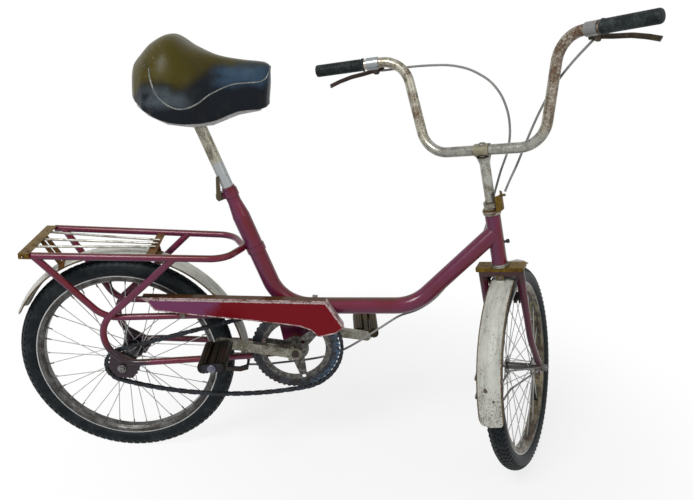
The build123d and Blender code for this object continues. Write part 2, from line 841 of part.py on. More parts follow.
def crank_end(side):
    """Centre of a pedal axle on its crank: side -1 is the right one, which points back."""
    turn_angle = radians(crank_angle)
    reach = crank_length if side < 0 else -crank_length
    return Vector(bb_x - reach * cos(turn_angle), 0, bb_z + reach * sin(turn_angle))


def crank(side):
    """A crank arm with its boss, cotter pin, pedal eye and the pedal's axle."""
    end = crank_end(side)
    outer = side * (crank_inner_y + crank_t)
    low, high = sorted((side * crank_inner_y, outer))
    outline = make_hull([
        Pos(bb_x, bb_z) * Circle(crank_boss_r - 3).edge(),
        Pos(end.X, end.Z) * Circle(crank_eye_r).edge(),
    ])
    arm = side_solid(outline, low, high)
    boss_low, boss_high = sorted((side * (abs(chain_y) + ring_t / 2), outer))
    arm += disc(bb_x, bb_z, crank_boss_r, boss_low, boss_high)
    way = (Vector(bb_x, 0, bb_z) - end).normalized()
    across = Vector(-way.Z, 0, way.X)
    cotter = Vector(bb_x, side * (crank_inner_y + crank_t / 2), bb_z) - way * (spindle_r + 1)
    arm += rod(cotter - across * cotter_half, cotter + across * cotter_half, cotter_r)
    arm += rod(cotter + across * (cotter_half - 7), cotter + across * (cotter_half - 2), cotter_r + 2)
    arm -= disc(bb_x, bb_z, spindle_r, boss_low - 1, boss_high + 1)
    axle_low, axle_high = sorted((outer, side * (pedal_inner_y + pedal_width + 4)))
    return arm + disc(end.X, end.Z, pedal_axle_r, axle_low, axle_high)


def spindle():
    """The crank spindle through the bracket."""
    end = crank_inner_y + crank_t + 3
    return disc(bb_x, bb_z, spindle_r, -end, end)


def pedal(side):
    """A pedal: two grooved rubber blocks between end plates on a sleeve."""
    end = crank_end(side)
    low, high = sorted((side * pedal_inner_y, side * (pedal_inner_y + pedal_width)))
    outline = RectangleRounded(pedal_length, pedal_t, pedal_round)
    outline -= Rectangle(2 * pedal_slot, pedal_t + 2)
    for x in (-pedal_length * 0.38, -pedal_length * 0.26, pedal_length * 0.26, pedal_length * 0.38):
        for z in (-pedal_t / 2, pedal_t / 2):
            outline -= Pos(x, z) * Rectangle(2.4, 2 * groove_depth)
    body = disc(0, 0, pedal_sleeve_r, low, high)
    for face in outline.faces():
        body += side_solid(face, low + 3, high - 3)
    cheek = RectangleRounded(pedal_length - 8, pedal_t - 8, pedal_round - 5)
    for y in (low, high - 3):
        body += side_solid(cheek, y, y + 3)
    body -= disc(0, 0, pedal_axle_r + running_gap, low - 1, high + 1)
    tilt = -pedal_tilt if side < 0 else 0
    return Pos(end.X, 0, end.Z) * Rot(0, tilt, 0) * body


def chain_guard():
    """The pressed chain guard: a face with flanges along its top, front and rear."""
    outline = make_face(Polyline(
        (49, 175.5), (452.5, 185.5), (496, 125.5), (479, 109.5), (448, 100), (439, 100), (422.5, 114.5),
        (397.5, 123), (353, 127.5), (264, 134), (176, 139), (78, 147.5), (62, 168.5), close=True))
    shell = side_solid(outline, guard_y, guard_y + guard_depth)
    pressed = offset(outline, amount=-guard_t, kind=Kind.INTERSECTION)
    low = guard_y + guard_t
    for drop in (0, 8, 16, 24):
        shell -= side_solid(Pos(0, -drop) * pressed, low, guard_y + guard_depth + 1)
    return biggest(shell)


def guard_top_z(x):
    """Height of the underside of the chain guard's top flange at x."""
    return 175.5 + (x - 49) * (185.5 - 175.5) / (452.5 - 49) - guard_t * 1.02


def guard_straps():
    """The two steel straps that hang the chain guard from the upper stay and the keel."""
    x = guard_rear_strap_x
    face = guard_y + guard_t
    low = upper_stay_height(x) - 3
    high = guard_top_z(x) - 20
    stay_side = -upper_stay_y_at(x) - stay_r
    rear = block((x - strap_width / 2, face, low), (x + strap_width / 2, stay_side + 1.6, high))
    rear = biggest(rear - upper_stay_solid)
    x = guard_front_strap_x
    near = x - strap_width / 2
    far = x + strap_width / 2
    under = guard_top_z
    bar = side_plate([(near, under(near) - plate_t), (far, under(far) - plate_t),
                      (far, under(far)), (near, under(near))],
                     face + 6, -bracket_half + 4)
    bar += block((near, -bracket_half + 2.5, keel_z(x)), (far, -bracket_half + 4, under(near) - plate_t / 2))
    front = biggest(bar - keel_envelope())
    return Compound([rear, front])


# ---------------------------------------------------------------- fenders
def fender_profile(radius, half, crown, thickness, bead):
    """The section of a fender: a low crown, with a rolled bead along both edges."""
    outer_low = radius - crown
    outer = ThreePointArc((outer_low, -half), (radius, 0), (outer_low, half))
    inner = ThreePointArc(
        (outer_low - 0.5, half - thickness), (radius - thickness, 0), (outer_low - 0.5, -half + thickness))
    face = make_face([outer, Line(outer @ 1, inner @ 0), inner, Line(inner @ 1, outer @ 0)])
    if bead:
        for side in (-1, 1):
            face += Pos(outer_low - 0.3, side * (half - 0.6)) * Circle(bead)
    return face


def arc_of(profile, span):
    """A profile turned about the axle over the given angles from straight ahead."""
    start, stop = span
    turned_ring = revolve(profile, axis=Axis((0, 0, 0), (0, -1, 0)), revolution_arc=stop - start)
    return Rot(0, -start, 0) * turned_ring


def fender(radius, span):
    return arc_of(fender_profile(radius, fender_half, fender_crown, fender_t, fender_bead_r), span)


def rear_fender():
    """The rear fender, with the tab that ties its front end to the stays' bridge."""
    body = Pos(rear_fender_shift, 0, 0) * fender(rear_fender_r, rear_fender_span)
    front = bridge_x + bridge_r
    low = stay_height(bridge_x)
    start = radians(rear_fender_span[0] + 1)
    top_x = rear_fender_shift + (rear_fender_r - fender_t) * cos(start)
    top_z = rear_fender_r * sin(start)
    tab = side_plate([(front, low - 7), (front + plate_t, low - 7), (front + plate_t, low + 10),
                      (top_x + 0.9, top_z), (top_x - 0.6, top_z), (front, low + 10)], -9, 9)
    return body + tab


def front_fender():
    """The front fender, with the tab that ties it to the back of the fork crown."""
    blade = Pos(fork_rake, 0, 0) * fender(front_fender_r, front_fender_span)
    low = front_fender_r - 5
    tab = block((-crown_half - 2, -9, low), (-crown_half, 9, crown_h - cap_up - 2))
    return steer_frame * (blade + tab)


def front_fender_stays():
    """The two pairs of wire stays from the front axle to the fender's edges."""
    wires = []
    edge_r = front_fender_r - fender_crown
    for side in (-1, 1):
        inner = side * (front_drop_y + drop_t / 2)
        outer = inner + side * fender_eye_t
        y = outer - side * fender_stay_r
        wire = rod((fork_rake, inner, 0), (fork_rake, outer, 0), nut_r)
        for at in fender_stay_at:
            angle = radians(at)
            edge = Vector(fork_rake + edge_r * cos(angle), side * (fender_half + 3.2), edge_r * sin(angle))
            elbow = edge + Vector(42, side * 5, -2)
            wire += bent_tube([Vector(fork_rake, y, 0), elbow, edge], [12.0], fender_stay_r)
            wire += rod(edge, edge - Vector(0, side * 1.8, 0), fender_stay_r + 2)
        axle_hole = rod((fork_rake, -90, 0), (fork_rake, 90, 0), front_axle_r)
        wires.append(biggest(wire - axle_hole))
    return steer_frame * Compound(wires)


# ---------------------------------------------------------------- steering
def fork():
    """The fork: steerer, crown, two blades and their drop-outs."""
    body = rod((0, 0, crown_h - crown_depth + 2), (0, 0, head_tube_high + 30), steerer_r - 0.3)
    body += block((-crown_half, -blade_top_y, crown_h - crown_depth), (crown_half, blade_top_y, crown_h))
    for side in (-1, 1):
        top = Vector(0, side * blade_top_y, crown_h - 1)
        knee = Vector(-2, side * (blade_top_y + 4), blade_knee_h)
        tip = Vector(fork_rake - 4, side * (front_drop_y - 1), 18)
        mid = top + (knee - top) * 0.7
        way = knee - top
        body += loft([Plane(origin=top, z_dir=way) * Circle(blade_r),
                      Plane(origin=mid, z_dir=way) * Circle(blade_tip_r)])
        body += bent_tube([mid, knee, tip], [110.0], blade_tip_r)
        y = side * front_drop_y
        tab = block((fork_rake - 12, y - drop_t / 2, -13), (fork_rake + 9, y + drop_t / 2, 22))
        body += tab
        body -= rod((fork_rake, y - 30, 0), (fork_rake, y + 30, 0), front_axle_r + running_gap)
    return steer_frame * body


def crown_cap():
    """The plated cap over the fork's shoulders."""
    rear = -crown_half - plate_t
    shell = block((rear, -cap_side, crown_h - 2), (cap_front, cap_side, crown_h + cap_up))
    shell -= block((rear + plate_t, -cap_side + plate_t, crown_h - 4),
                   (cap_front - plate_t, cap_side - plate_t, crown_h + cap_up - plate_t))
    shell -= rod((0, 0, crown_h - 20), (0, 0, crown_h + 20), steerer_r)
    return steer_frame * shell


def headset_nuts():
    """The adjusting race and the locknut on top of the steerer."""
    low = head_tube_high + head_cup_depth + 2 + hanger_t + 0.3
    body = ring_about_axis(steer_frame, 15.5, steerer_r - 0.3, low, low + 6)
    nut = extrude(Pos(0, 0, low + 6) * RegularPolygon(17.0, 8), amount=9)
    nut -= Pos(0, 0, low + 10) * Cylinder(steerer_r - 0.3, 30)
    return body + steer_frame * nut


def stem():
    """The quill stem with the split lug that holds the handlebar."""
    low = head_tube_high + 30
    f = stem_clamp_f
    h = stem_clamp_h
    body = rod((0, 0, low), (0, 0, h - 8), quill_r)
    cone_low = Plane(origin=(0, 0, h - stem_lug_r - 14)) * Circle(quill_r + 0.6)
    cone_high = Plane(origin=(0, 0, h - stem_lug_r + 1)) * Circle(stem_lug_half)
    body += loft([cone_low, cone_high])
    body += rod((f, -stem_lug_half, h), (f, stem_lug_half, h), stem_lug_r)
    body += rod((f - 5, 0, h - stem_lug_r - 3), (f + stem_lug_r + 9, 0, h - stem_lug_r - 3), 4.5)
    body -= rod((f, -30, h), (f, 30, h), bar_r + 0.02)
    return bar_frame * body


def riser_top(side):
    return bar_base + Vector(riser_corner[0], side * riser_corner[1], riser_corner[2])


def bar_end(side):
    return bar_base + Vector(grip_end[0], side * grip_end[1], grip_end[2])


def handlebar():
    """The high-rise handlebar, one bent tube."""
    foot_right = bar_base + Vector(0, -bar_half_base, 0)
    foot_left = bar_base + Vector(0, bar_half_base, 0)
    points = [bar_end(-1), riser_top(-1), foot_right, foot_left, riser_top(1), bar_end(1)]
    return bar_frame * bent_tube(points, [bar_bend_r] * 4, bar_r)


def grip(side):
    """A grip over the end of the handlebar, with a rounded cap and a collar at its inner end."""
    outer = bar_end(side)
    way = (outer - riser_top(side)).normalized()
    start = outer - way * (grip_length - 5)
    body = rod(start, outer + way * 5, grip_r)
    body = fillet(body.edges().filter_by(GeomType.CIRCLE).sort_by_distance(outer + way * 5)[0], 5)
    body += rod(start, start + way * 4, grip_r + 2.6)
    return bar_frame * (body - rod(start - way * 10, outer, bar_r))


def brake_lever(side):
    """A brake lever: a band round the bar, the body with its cable stop, and a flat curved blade."""
    outer = bar_end(side)
    inner = riser_top(side)
    way = (outer - inner).normalized()
    at = inner + way * lever_band_at
    pull = Vector(1, 0, -1).normalized()
    body = rod(at - way * lever_band_half, at + way * lever_band_half, bar_r + 2.4)
    pivot = at + pull * (bar_r + 14) + way * 4
    body += rod(at + pull * bar_r, pivot, 7.0)
    body += rod(pivot - pull.cross(way) * 7, pivot + pull.cross(way) * 7, 7.5)
    body += rod(pivot - way * 18, pivot, 4.5)
    blade = [pivot, (32, side * 268, 750), (24, side * 300, 748), (14, side * 328, 743), (7, side * 350, 737)]
    blade = [Vector(p) for p in blade]
    path = FilletPolyline(*blade, radius=60)
    section = Plane(origin=path @ 0, x_dir=pull.cross(way), z_dir=path % 0) * RectangleRounded(
        lever_blade_width, lever_blade_t, lever_blade_t * 0.45)
    body += sweep(section, path=path)
    return bar_frame * (body - rod(at - way * 40, at + way * 60, bar_r))


# ---------------------------------------------------------------- brakes and cables
def pad_block(radius, side, at_x, at_z, along):
    """A brake block beside the rim, its length along the rim."""
    low = side * (rim_width / 2 + pad_gap)
    high = side * (rim_width / 2 + pad_gap + pad_t)
    y_low, y_high = sorted((low, high))
    pad = block((-pad_length / 2, y_low, -pad_depth / 2), (pad_length / 2, y_high, pad_depth / 2))
    return Pos(at_x, 0, at_z) * Rot(0, -along, 0) * pad


def front_brake():
    """The front calliper: an arch under the fork crown, with a block each side of the rim."""
    arm_in = rim_width / 2 + pad_gap + pad_t
    arm_out = arm_in + arm_t
    low = rim_flange_r - 20
    top = crown_h - crown_depth - 1
    edge = front_fender_r - fender_crown
    waist = fender_half + 6
    outline = [
        (arm_in, low), (arm_out, low), (arm_out + 2, low + 20), (waist + 6, edge), (waist - 6, top + 6),
        (0, top + 8), (-waist + 6, top + 6), (-waist - 6, edge), (-arm_out - 2, low + 20), (-arm_out, low),
        (-arm_in, low), (-arm_in, low + 20), (-waist, edge - 4), (-waist + 10, front_fender_r - 1.5),
        (0, front_fender_r + 3.5), (waist - 10, front_fender_r - 1.5), (waist, edge - 4), (arm_in, low + 20),
    ]
    front_face = make_face(Polyline(*outline, close=True))
    arch = Pos(crown_half + 1.2, 0, 0) * extrude(Plane.YZ * front_face, amount=arm_t)
    rim_x = crown_half + 1.2 + arm_t / 2
    reach = rim_flange_r - pad_depth / 2 - 1
    body = arch
    dx = rim_x - fork_rake
    z = sqrt(reach ** 2 - dx ** 2)
    tilt = degrees(atan2(z, dx)) - 90
    for side in (-1, 1):
        body += pad_block(reach, side, rim_x, z, tilt)
        outer_y = side * (arm_out + 4)
        body += rod((rim_x, side * arm_in, z), (rim_x, outer_y, z), 4.5)
    body += rod((crown_half, 0, top + 1), (crown_half + arm_t + 9, 0, top + 1), 4.5)
    return steer_frame * body


def rear_brake():
    """The rear calliper: an arch on the stays' bridge, with arms back to blocks beside the rim."""
    plate_x = bridge_x + bridge_r + plate_t
    arm_in = rim_width / 2 + pad_gap + pad_t + 1
    arm_out = arm_in + arm_t
    z = -6.0
    front = plate_x + arm_t
    rim_x = rim_flange_r - pad_depth / 2
    outline = [
        (rim_x - 8, arm_in), (rim_x - 8, arm_out), (plate_x - 12, arm_out + 3), (front, arm_in - 2),
        (front, -arm_in + 2), (plate_x - 12, -arm_out - 3), (rim_x - 8, -arm_out), (rim_x - 8, -arm_in),
        (tyre_core_r, -arm_in - 1), (plate_x - 14, -arm_in - 1), (plate_x, -arm_in + 9),
        (plate_x, arm_in - 9), (plate_x - 14, arm_in + 1), (tyre_core_r, arm_in + 1),
    ]
    body = Pos(0, 0, z - 5) * extrude(make_face(Polyline(*outline, close=True)), amount=10)
    for side in (-1, 1):
        body += pad_block(rim_x, side, rim_x - 3, z, 90)
        body += rod((rim_x - 4, side * (arm_in - 2), z), (rim_x - 4, side * (arm_out + 4), z), 3.5)
    body += block((plate_x, -7, z - 5), (front, 7, stay_height(bridge_x) + 8))
    body += rod((plate_x, 0, stay_height(bridge_x)), (front + 6, 0, stay_height(bridge_x)), 4.5)
    return body


def front_cable():
    """The front brake's cable, from the right lever to the hanger on the head tube."""
    route = [(33, -231, 748), (44, -193, 717), (50, -160, 685), (48, -133.5, 653), (46, -106.5, 611),
             (42, -78.5, 560), (38, -55, 514), (32, -37, 483), (24, -26, 460)]
    return bar_frame * cable("front_cable", route)


cable_meeting = head_frame.to_local_coords(bar_frame.from_local_coords(Vector(53, 5.5, 458)))


def rear_cable_upper():
    """The rear brake's cable on the steering: from the left lever past the stem to the head tube."""
    route = [(34, 224, 751), (50, 202, 748), (60, 171, 746.5), (61, 128, 744), (60, 71, 738), (59, 27, 724),
             (60, -13, 695), (60, -34.5, 661), (60, -44, 618), (60, -41, 575), (60, -30, 537), (60, -9, 497),
             (53, 5.5, 458)]
    return bar_frame * cable("rear_cable_upper", route)


def rear_cable_lower():
    """The rear brake's cable on the frame: past the head tube, under the keel, to the rear calliper."""
    m = cable_meeting
    near_head = [(m.X - 0.1, m.Y, m.Z - 0.25), (m.X - 16, m.Y + 2.2, m.Z - 39), (m.X - 31, m.Y - 6, m.Z - 74),
                 (m.X - 50, m.Y - 16, m.Z - 102)]
    route = [head_frame.from_local_coords(Vector(p)) for p in near_head]
    route += [Vector(p) for p in (
        (783, 25, 302), (757.5, 19.5, 258), (731, 10, 214.5), (700, 3, 175.5), (663, 1, 147.5),
        (626.5, 0, 135.5),
        (572, 0, 91), (536, -1, 62.5), (500, -1, 37), (458, -2, 18.5), (410, -4, 8), (362, -7, 2),
        (322, -9, -4), (bridge_x + bridge_r + plate_t + arm_t + 0.8, -10, -6))]
    return cable("rear_cable_lower", route)


# ---------------------------------------------------------------- build and write
rail_solid = rack_rail()
bottom_bracket_solid = bottom_bracket()
lower_stay_solid = lower_stay()
upper_stay_solid = upper_stay()
saddle_cover_solid = saddle_cover()
rear_fender_solid = rear_fender()
front_wheel = Pos(fork_rake, 0, 0)

nodes = {
    "main_tube": main_tube(),
    "head_tube": head_tube(),
    "head_cups": head_cups(),
    "head_peg": head_peg(),
    "cable_hanger": cable_hanger(),
    "bottom_bracket": bottom_bracket_solid,
    "lower_stay_right": lower_stay_solid,
    "lower_stay_left": other_side(lower_stay_solid),
    "upper_stay_right": upper_stay_solid,
    "upper_stay_left": other_side(upper_stay_solid),
    "stay_bridge": stay_bridge(),
    "rack_rail": rail_solid,
    "rack_end_plate": rack_end_plate(),
    "rack_crossbar": rack_crossbar(),
    "rack_wires": rack_wires(),
    "rack_hoops": rack_hoops(),
    "rack_clip": rack_clip(),
    "rear_fender": rear_fender_solid,
    "rear_brake": rear_brake(),
    "rear_cable_lower": rear_cable_lower(),
    "chain_guard": chain_guard(),
    "guard_straps": guard_straps(),
    "chain": chain(),
    "rear_axle": axle(rear_axle_r, rear_axle_half, stay_y),
    "seat_clamp": seat_clamp(),
    "seatpost": seatpost(),
    "saddle_cover": saddle_cover_solid,
    "saddle_pan": saddle_pan(),
    "fork": fork(),
    "crown_cap": crown_cap(),
    "headset_nuts": headset_nuts(),
    "stem": stem(),
    "handlebar": handlebar(),
    "grip_right": grip(-1),
    "grip_left": grip(1),
    "brake_lever_right": brake_lever(-1),
    "brake_lever_left": brake_lever(1),
    "front_brake": front_brake(),
    "front_cable": front_cable(),
    "rear_cable_upper": rear_cable_upper(),
    "front_fender": front_fender(),
    "front_fender_stays": front_fender_stays(),
    "front_axle": steer_frame * front_wheel * axle(
        front_axle_r, front_axle_half, front_drop_y + fender_eye_t),
    "front_tyre": steer_frame * front_wheel * tyre(),
    "front_rim": steer_frame * front_wheel * rim(),
    "front_hub": steer_frame * front_wheel * wheel_core(
        front_shell_r, front_flange_r, front_flange_y, front_axle_r, front_drop_y - drop_t / 2 - 0.3),
    "rear_tyre": tyre(),
    "rear_rim": rim(),
    "rear_hub": wheel_core(
        rear_shell_r, rear_flange_r, rear_flange_y, rear_axle_r, stay_y - drop_t / 2 - 0.3),
    "rear_sprocket": rear_sprocket(),
    "chainring": chainring(),
    "crank_spindle": spindle(),
    "crank_right": crank(-1),
    "crank_left": crank(1),
    "pedal_right": pedal(-1),
    "pedal_left": pedal(1),
}

os.makedirs("parts", exist_ok=True)
for name, shape in nodes.items():
    export_step(Pos(-sit_point.X, -sit_point.Y, -sit_point.Z) * shape, f"parts/{name}.step")
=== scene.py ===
"""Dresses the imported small-wheel bicycle: worn finishes, soft saddle, tread, chain and small fittings."""

import logging
from dataclasses import dataclass, field
from enum import Enum
from math import asin, atan2, copysign, cos, degrees, exp, pi, radians, sin, sqrt
from typing import Callable, Optional, Sequence, Union

import bpy
from mathutils import Matrix, Vector, noise


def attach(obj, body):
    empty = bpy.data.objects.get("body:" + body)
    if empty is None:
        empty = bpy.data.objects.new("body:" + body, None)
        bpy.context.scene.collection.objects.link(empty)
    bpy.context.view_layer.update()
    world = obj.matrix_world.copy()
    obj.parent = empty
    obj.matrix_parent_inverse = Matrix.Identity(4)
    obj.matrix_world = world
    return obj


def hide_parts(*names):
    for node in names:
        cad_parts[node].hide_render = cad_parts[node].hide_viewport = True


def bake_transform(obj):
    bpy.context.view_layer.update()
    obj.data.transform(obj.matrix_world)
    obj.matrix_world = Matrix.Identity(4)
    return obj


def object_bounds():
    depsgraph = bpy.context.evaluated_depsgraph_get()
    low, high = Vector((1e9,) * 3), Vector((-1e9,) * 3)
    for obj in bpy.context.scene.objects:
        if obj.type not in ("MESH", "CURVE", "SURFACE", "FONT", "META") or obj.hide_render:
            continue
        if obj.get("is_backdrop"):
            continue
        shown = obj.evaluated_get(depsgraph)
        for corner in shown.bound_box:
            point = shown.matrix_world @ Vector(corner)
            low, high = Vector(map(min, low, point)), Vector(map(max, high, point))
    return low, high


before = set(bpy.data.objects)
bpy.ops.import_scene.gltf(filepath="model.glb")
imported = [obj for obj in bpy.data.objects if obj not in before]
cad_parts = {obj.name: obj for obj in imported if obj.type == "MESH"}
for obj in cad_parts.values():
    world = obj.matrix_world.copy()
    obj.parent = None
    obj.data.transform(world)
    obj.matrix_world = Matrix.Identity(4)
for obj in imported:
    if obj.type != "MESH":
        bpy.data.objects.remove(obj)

LOG = logging.getLogger("bicycle")
MILLIMETRE = 0.001

# Places in millimetres from the rear wheel's centre, and angles in degrees.
SITTING_POINT = Vector((165.0, 0.0, 708.0))
WHEELBASE = 955.8
FORK_OFFSET = 34.5
HEAD_LEAN = 16.15
FORK_TURN = 62.0
BAR_TURN = 56.5
SEAT_LEAN = 24.0
SEAT_SLEEVE_TOP = (231.0, 0, 422.5)
CRANK_CENTRE = (390.0, 61.4)

# Places along the turned handlebar: forward, to the side and up in millimetres.
GRIP_END = (-22.2, 353.9, 778.8)
BAR_CORNER = (46.0, 170.3, 766.3)

Colour = tuple[float, float, float]
Socket = bpy.types.NodeSocket
Value = Union[float, Socket]
Point = Union[Vector, Sequence[float]]


class Body(str, Enum):
    """The moving bodies that pieces ride on."""

    FRAME = "frame"
    STEERING = "steering"
    FRONT_WHEEL = "front_wheel"
    REAR_WHEEL = "rear_wheel"
    CRANKSET = "crankset"
    RIGHT_PEDAL = "right_pedal"
    LEFT_PEDAL = "left_pedal"


class Side(int, Enum):
    """The rider's right and left, as the sign of y."""

    RIGHT = -1
    LEFT = 1


# ------------------------------------------------------------------ places
@dataclass(frozen=True)
class Axes:
    """A set of axes, measured in millimetres from the rear wheel's centre.

    Args of its methods are distances forward, to the left and up along these axes.
    """

    origin: Vector
    forward: Vector
    left: Vector
    up: Vector

    def local(self, f: float, l: float, h: float) -> Vector:
        """A point in millimetres from the rear wheel's centre."""
        return self.origin + self.forward * f + self.left * l + self.up * h

    def point(self, f: float, l: float, h: float) -> Vector:
        """A point in metres in the part's own frame."""
        return place(self.local(f, l, h))

    def way(self, f: float, l: float, h: float) -> Vector:
        """A direction of length one."""
        return (self.forward * f + self.left * l + self.up * h).normalized()


def place(p: Point) -> Vector:
    """Turns millimetres from the rear wheel's centre into the part's own frame in metres."""
    return (Vector(p) - SITTING_POINT) * MILLIMETRE


def steering_axes(turn: float) -> Axes:
    """The head tube's axes, turned to the left.

    Args:
        turn: the angle to the left in degrees.

    Returns:
        Axes with their origin on the steering axis at the height of the wheel's centre.
    """
    lean = radians(HEAD_LEAN)
    up = Vector((-sin(lean), 0.0, cos(lean)))
    straight = Vector((cos(lean), 0.0, sin(lean)))
    foot = Vector((WHEELBASE, 0.0, 0.0)) - straight * FORK_OFFSET
    forward = straight * cos(radians(turn)) + Vector((0.0, sin(radians(turn)), 0.0))
    return Axes(foot, forward, up.cross(forward), up)


MAIN = Axes(Vector((0, 0, 0)), Vector((1, 0, 0)), Vector((0, 1, 0)), Vector((0, 0, 1)))
HEAD = steering_axes(0.0)
FORK = steering_axes(FORK_TURN)
BAR = steering_axes(BAR_TURN)
FRONT = Axes(FORK.local(FORK_OFFSET, 0, 0), FORK.forward, FORK.left, FORK.up)


# ------------------------------------------------------------------ meshes
@dataclass
class Shape:
    """Collects vertices and faces in metres, and turns them into one piece."""

    vertices: list[Vector] = field(default_factory=list)
    faces: list[tuple[int, ...]] = field(default_factory=list)

    def grid(self, rows: Sequence[Sequence[Vector]], round_rows: bool = False,
             round_columns: bool = False) -> "Shape":
        """Adds a sheet of faces over rows of points.

        Args:
            rows: lists of points, all of one length.
            round_rows: joins each row's last point to its first.
            round_columns: joins the last row to the first.

        Returns:
            The same shape, so that calls can follow one another.
        """
        start = len(self.vertices)
        count = len(rows[0])
        for row in rows:
            self.vertices.extend(row)
        for i in range(len(rows) - (0 if round_columns else 1)):
            a = start + i * count
            b = start + ((i + 1) % len(rows)) * count
            for j in range(count - (0 if round_rows else 1)):
                k = (j + 1) % count
                self.faces.append((a + j, b + j, b + k, a + k))
        return self

    def cap(self, loop: Sequence[Vector], flip: bool = False) -> "Shape":
        """Closes a loop of points with one face.

        Args:
            loop: the points round the face, in metres.
            flip: turns the face round.

        Returns:
            The same shape.
        """
        start = len(self.vertices)
        self.vertices.extend(loop)
        face = tuple(range(start, start + len(loop)))
        self.faces.append(face[::-1] if flip else face)
        return self

    def tube(self, points: Sequence[Vector], radius: Union[float, Sequence[float]], sides: int = 12,
             closed: bool = False, caps: bool = True) -> "Shape":
        """Adds a round tube along points.

        Args:
            points: the centre line in metres.
            radius: one radius in metres, or one for each point.
            sides: how many faces go round it.
            closed: joins its end to its start.
            caps: closes its ends.

        Returns:
            The same shape.
        """
        radii = list(radius) if isinstance(radius, (list, tuple)) else [radius] * len(points)
        count = len(points)
        rows = []
        normal: Optional[Vector] = None
        for i, p in enumerate(points):
            before = points[i - 1] if (i or closed) else p
            after = points[(i + 1) % count] if (i < count - 1 or closed) else p
            along = (after - before).normalized()
            if normal is None:
                normal = along.orthogonal().normalized()
            normal = (normal - along * normal.dot(along)).normalized()
            across = along.cross(normal)
            rows.append([p + (normal * cos(2 * pi * j / sides) + across * sin(2 * pi * j / sides)) * radii[i]
                         for j in range(sides)])
        self.grid(rows, round_rows=True, round_columns=closed)
        if caps and not closed:
            self.cap(rows[0])
            self.cap(rows[-1], flip=True)
        return self

    def lathe(self, centre: Vector, axis: Vector, profile: Sequence[tuple[float, float]],
              steps: int = 32, closed: bool = False) -> "Shape":
        """Turns a profile about an axis.

        Args:
            centre: a point on the axis, in metres.
            axis: its direction.
            profile: pairs of distance along the axis and radius, in millimetres.
            steps: how many faces go round.
            closed: joins the profile's end to its start.

        Returns:
            The same shape.
        """
        axis = axis.normalized()
        u = axis.orthogonal().normalized()
        v = axis.cross(u)
        rows = []
        for along, radius in profile:
            rows.append([centre + (axis * along + (u * cos(2 * pi * j / steps) + v * sin(2 * pi * j / steps))
                         * radius) * MILLIMETRE for j in range(steps)])
        return self.grid(rows, round_rows=True, round_columns=closed)

    def prism(self, outline: Sequence[Vector], depth: Vector) -> "Shape":
        """Adds a flat plate: its outline in metres, carried along depth.

        Args:
            outline: its corners in metres.
            depth: how far, and which way, it is carried.

        Returns:
            The same shape.
        """
        far = [p + depth for p in outline]
        self.grid([list(outline), far], round_rows=True)
        self.cap(list(outline), flip=True)
        self.cap(far)
        return self

    def nut(self, centre: Vector, axis: Vector, width: float, height: float, washer: float = 0.0) -> "Shape":
        """Adds a hexagon nut or bolt head with a chamfered top.

        Args:
            centre: where its foot stands, in metres.
            axis: the way it stands up.
            width: its size across the flats in millimetres.
            height: its height in millimetres.
            washer: the radius of a washer under it, or zero for none.

        Returns:
            The same shape.
        """
        r = width / sqrt(3.0)
        if washer:
            self.lathe(centre, axis, [(-0.2, 0.1), (-0.2, washer), (1.0, washer), (1.0, 0.1)], 24)
        foot = 1.0 if washer else 0.0
        self.lathe(centre, axis, [(foot - 0.2, 0.1), (foot - 0.2, r), (foot + height - 0.8, r),
                                  (foot + height, r * 0.84), (foot + height, 0.1)], 6)
        return self

    def dome(self, centre: Vector, axis: Vector, radius: float, height: float) -> "Shape":
        """Adds a round rivet head, with its sizes in millimetres."""
        steps = [(height * sin(radians(a)), radius * cos(radians(a))) for a in (0, 22, 45, 68, 89)]
        return self.lathe(centre, axis, [(-0.3, radius)] + steps, 16)

    def piece(self, name: str, body: Body, finish: bpy.types.Material, slot: str,
              crease: float = 34.0) -> bpy.types.Object:
        """Makes the object and lets it ride on a body.

        Args:
            name: the piece's name.
            body: the body that carries it.
            finish: its material.
            slot: the record's material slot; not used.
            crease: edges sharper than this many degrees stay sharp.

        Returns:
            The new object.
        """
        mesh = bpy.data.meshes.new(name)
        mesh.from_pydata([tuple(v) for v in self.vertices], [], self.faces)
        mesh.validate()
        mesh.shade_smooth()
        mesh.set_sharp_from_angle(angle=radians(crease))
        mesh.materials.append(finish)
        thing = bpy.data.objects.new(name, mesh)
        bpy.context.scene.collection.objects.link(thing)
        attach(thing, body.value)
        LOG.info("%s: %d faces on %s", name, len(self.faces), body.value)
        return thing


def smooth_line(points: Sequence[Vector], steps: int) -> list[Vector]:
    """A smooth line through points, with so many steps between neighbours.

    Args:
        points: what it passes through, in order.
        steps: how many steps lie between two of them.

    Returns:
        The line's points, the last one included.
    """
    line = []
    last = len(points) - 1
    for i in range(last):
        a, b = points[max(i - 1, 0)], points[i]
        c, d = points[i + 1], points[min(i + 2, last)]
        for k in range(steps):
            t = k / steps
            line.append(0.5 * (2 * b + (c - a) * t + (2 * a - 5 * b + 4 * c - d) * t * t
                               + (3 * b - a - 3 * c + d) * t ** 3))
    line.append(points[last].copy())
    return line


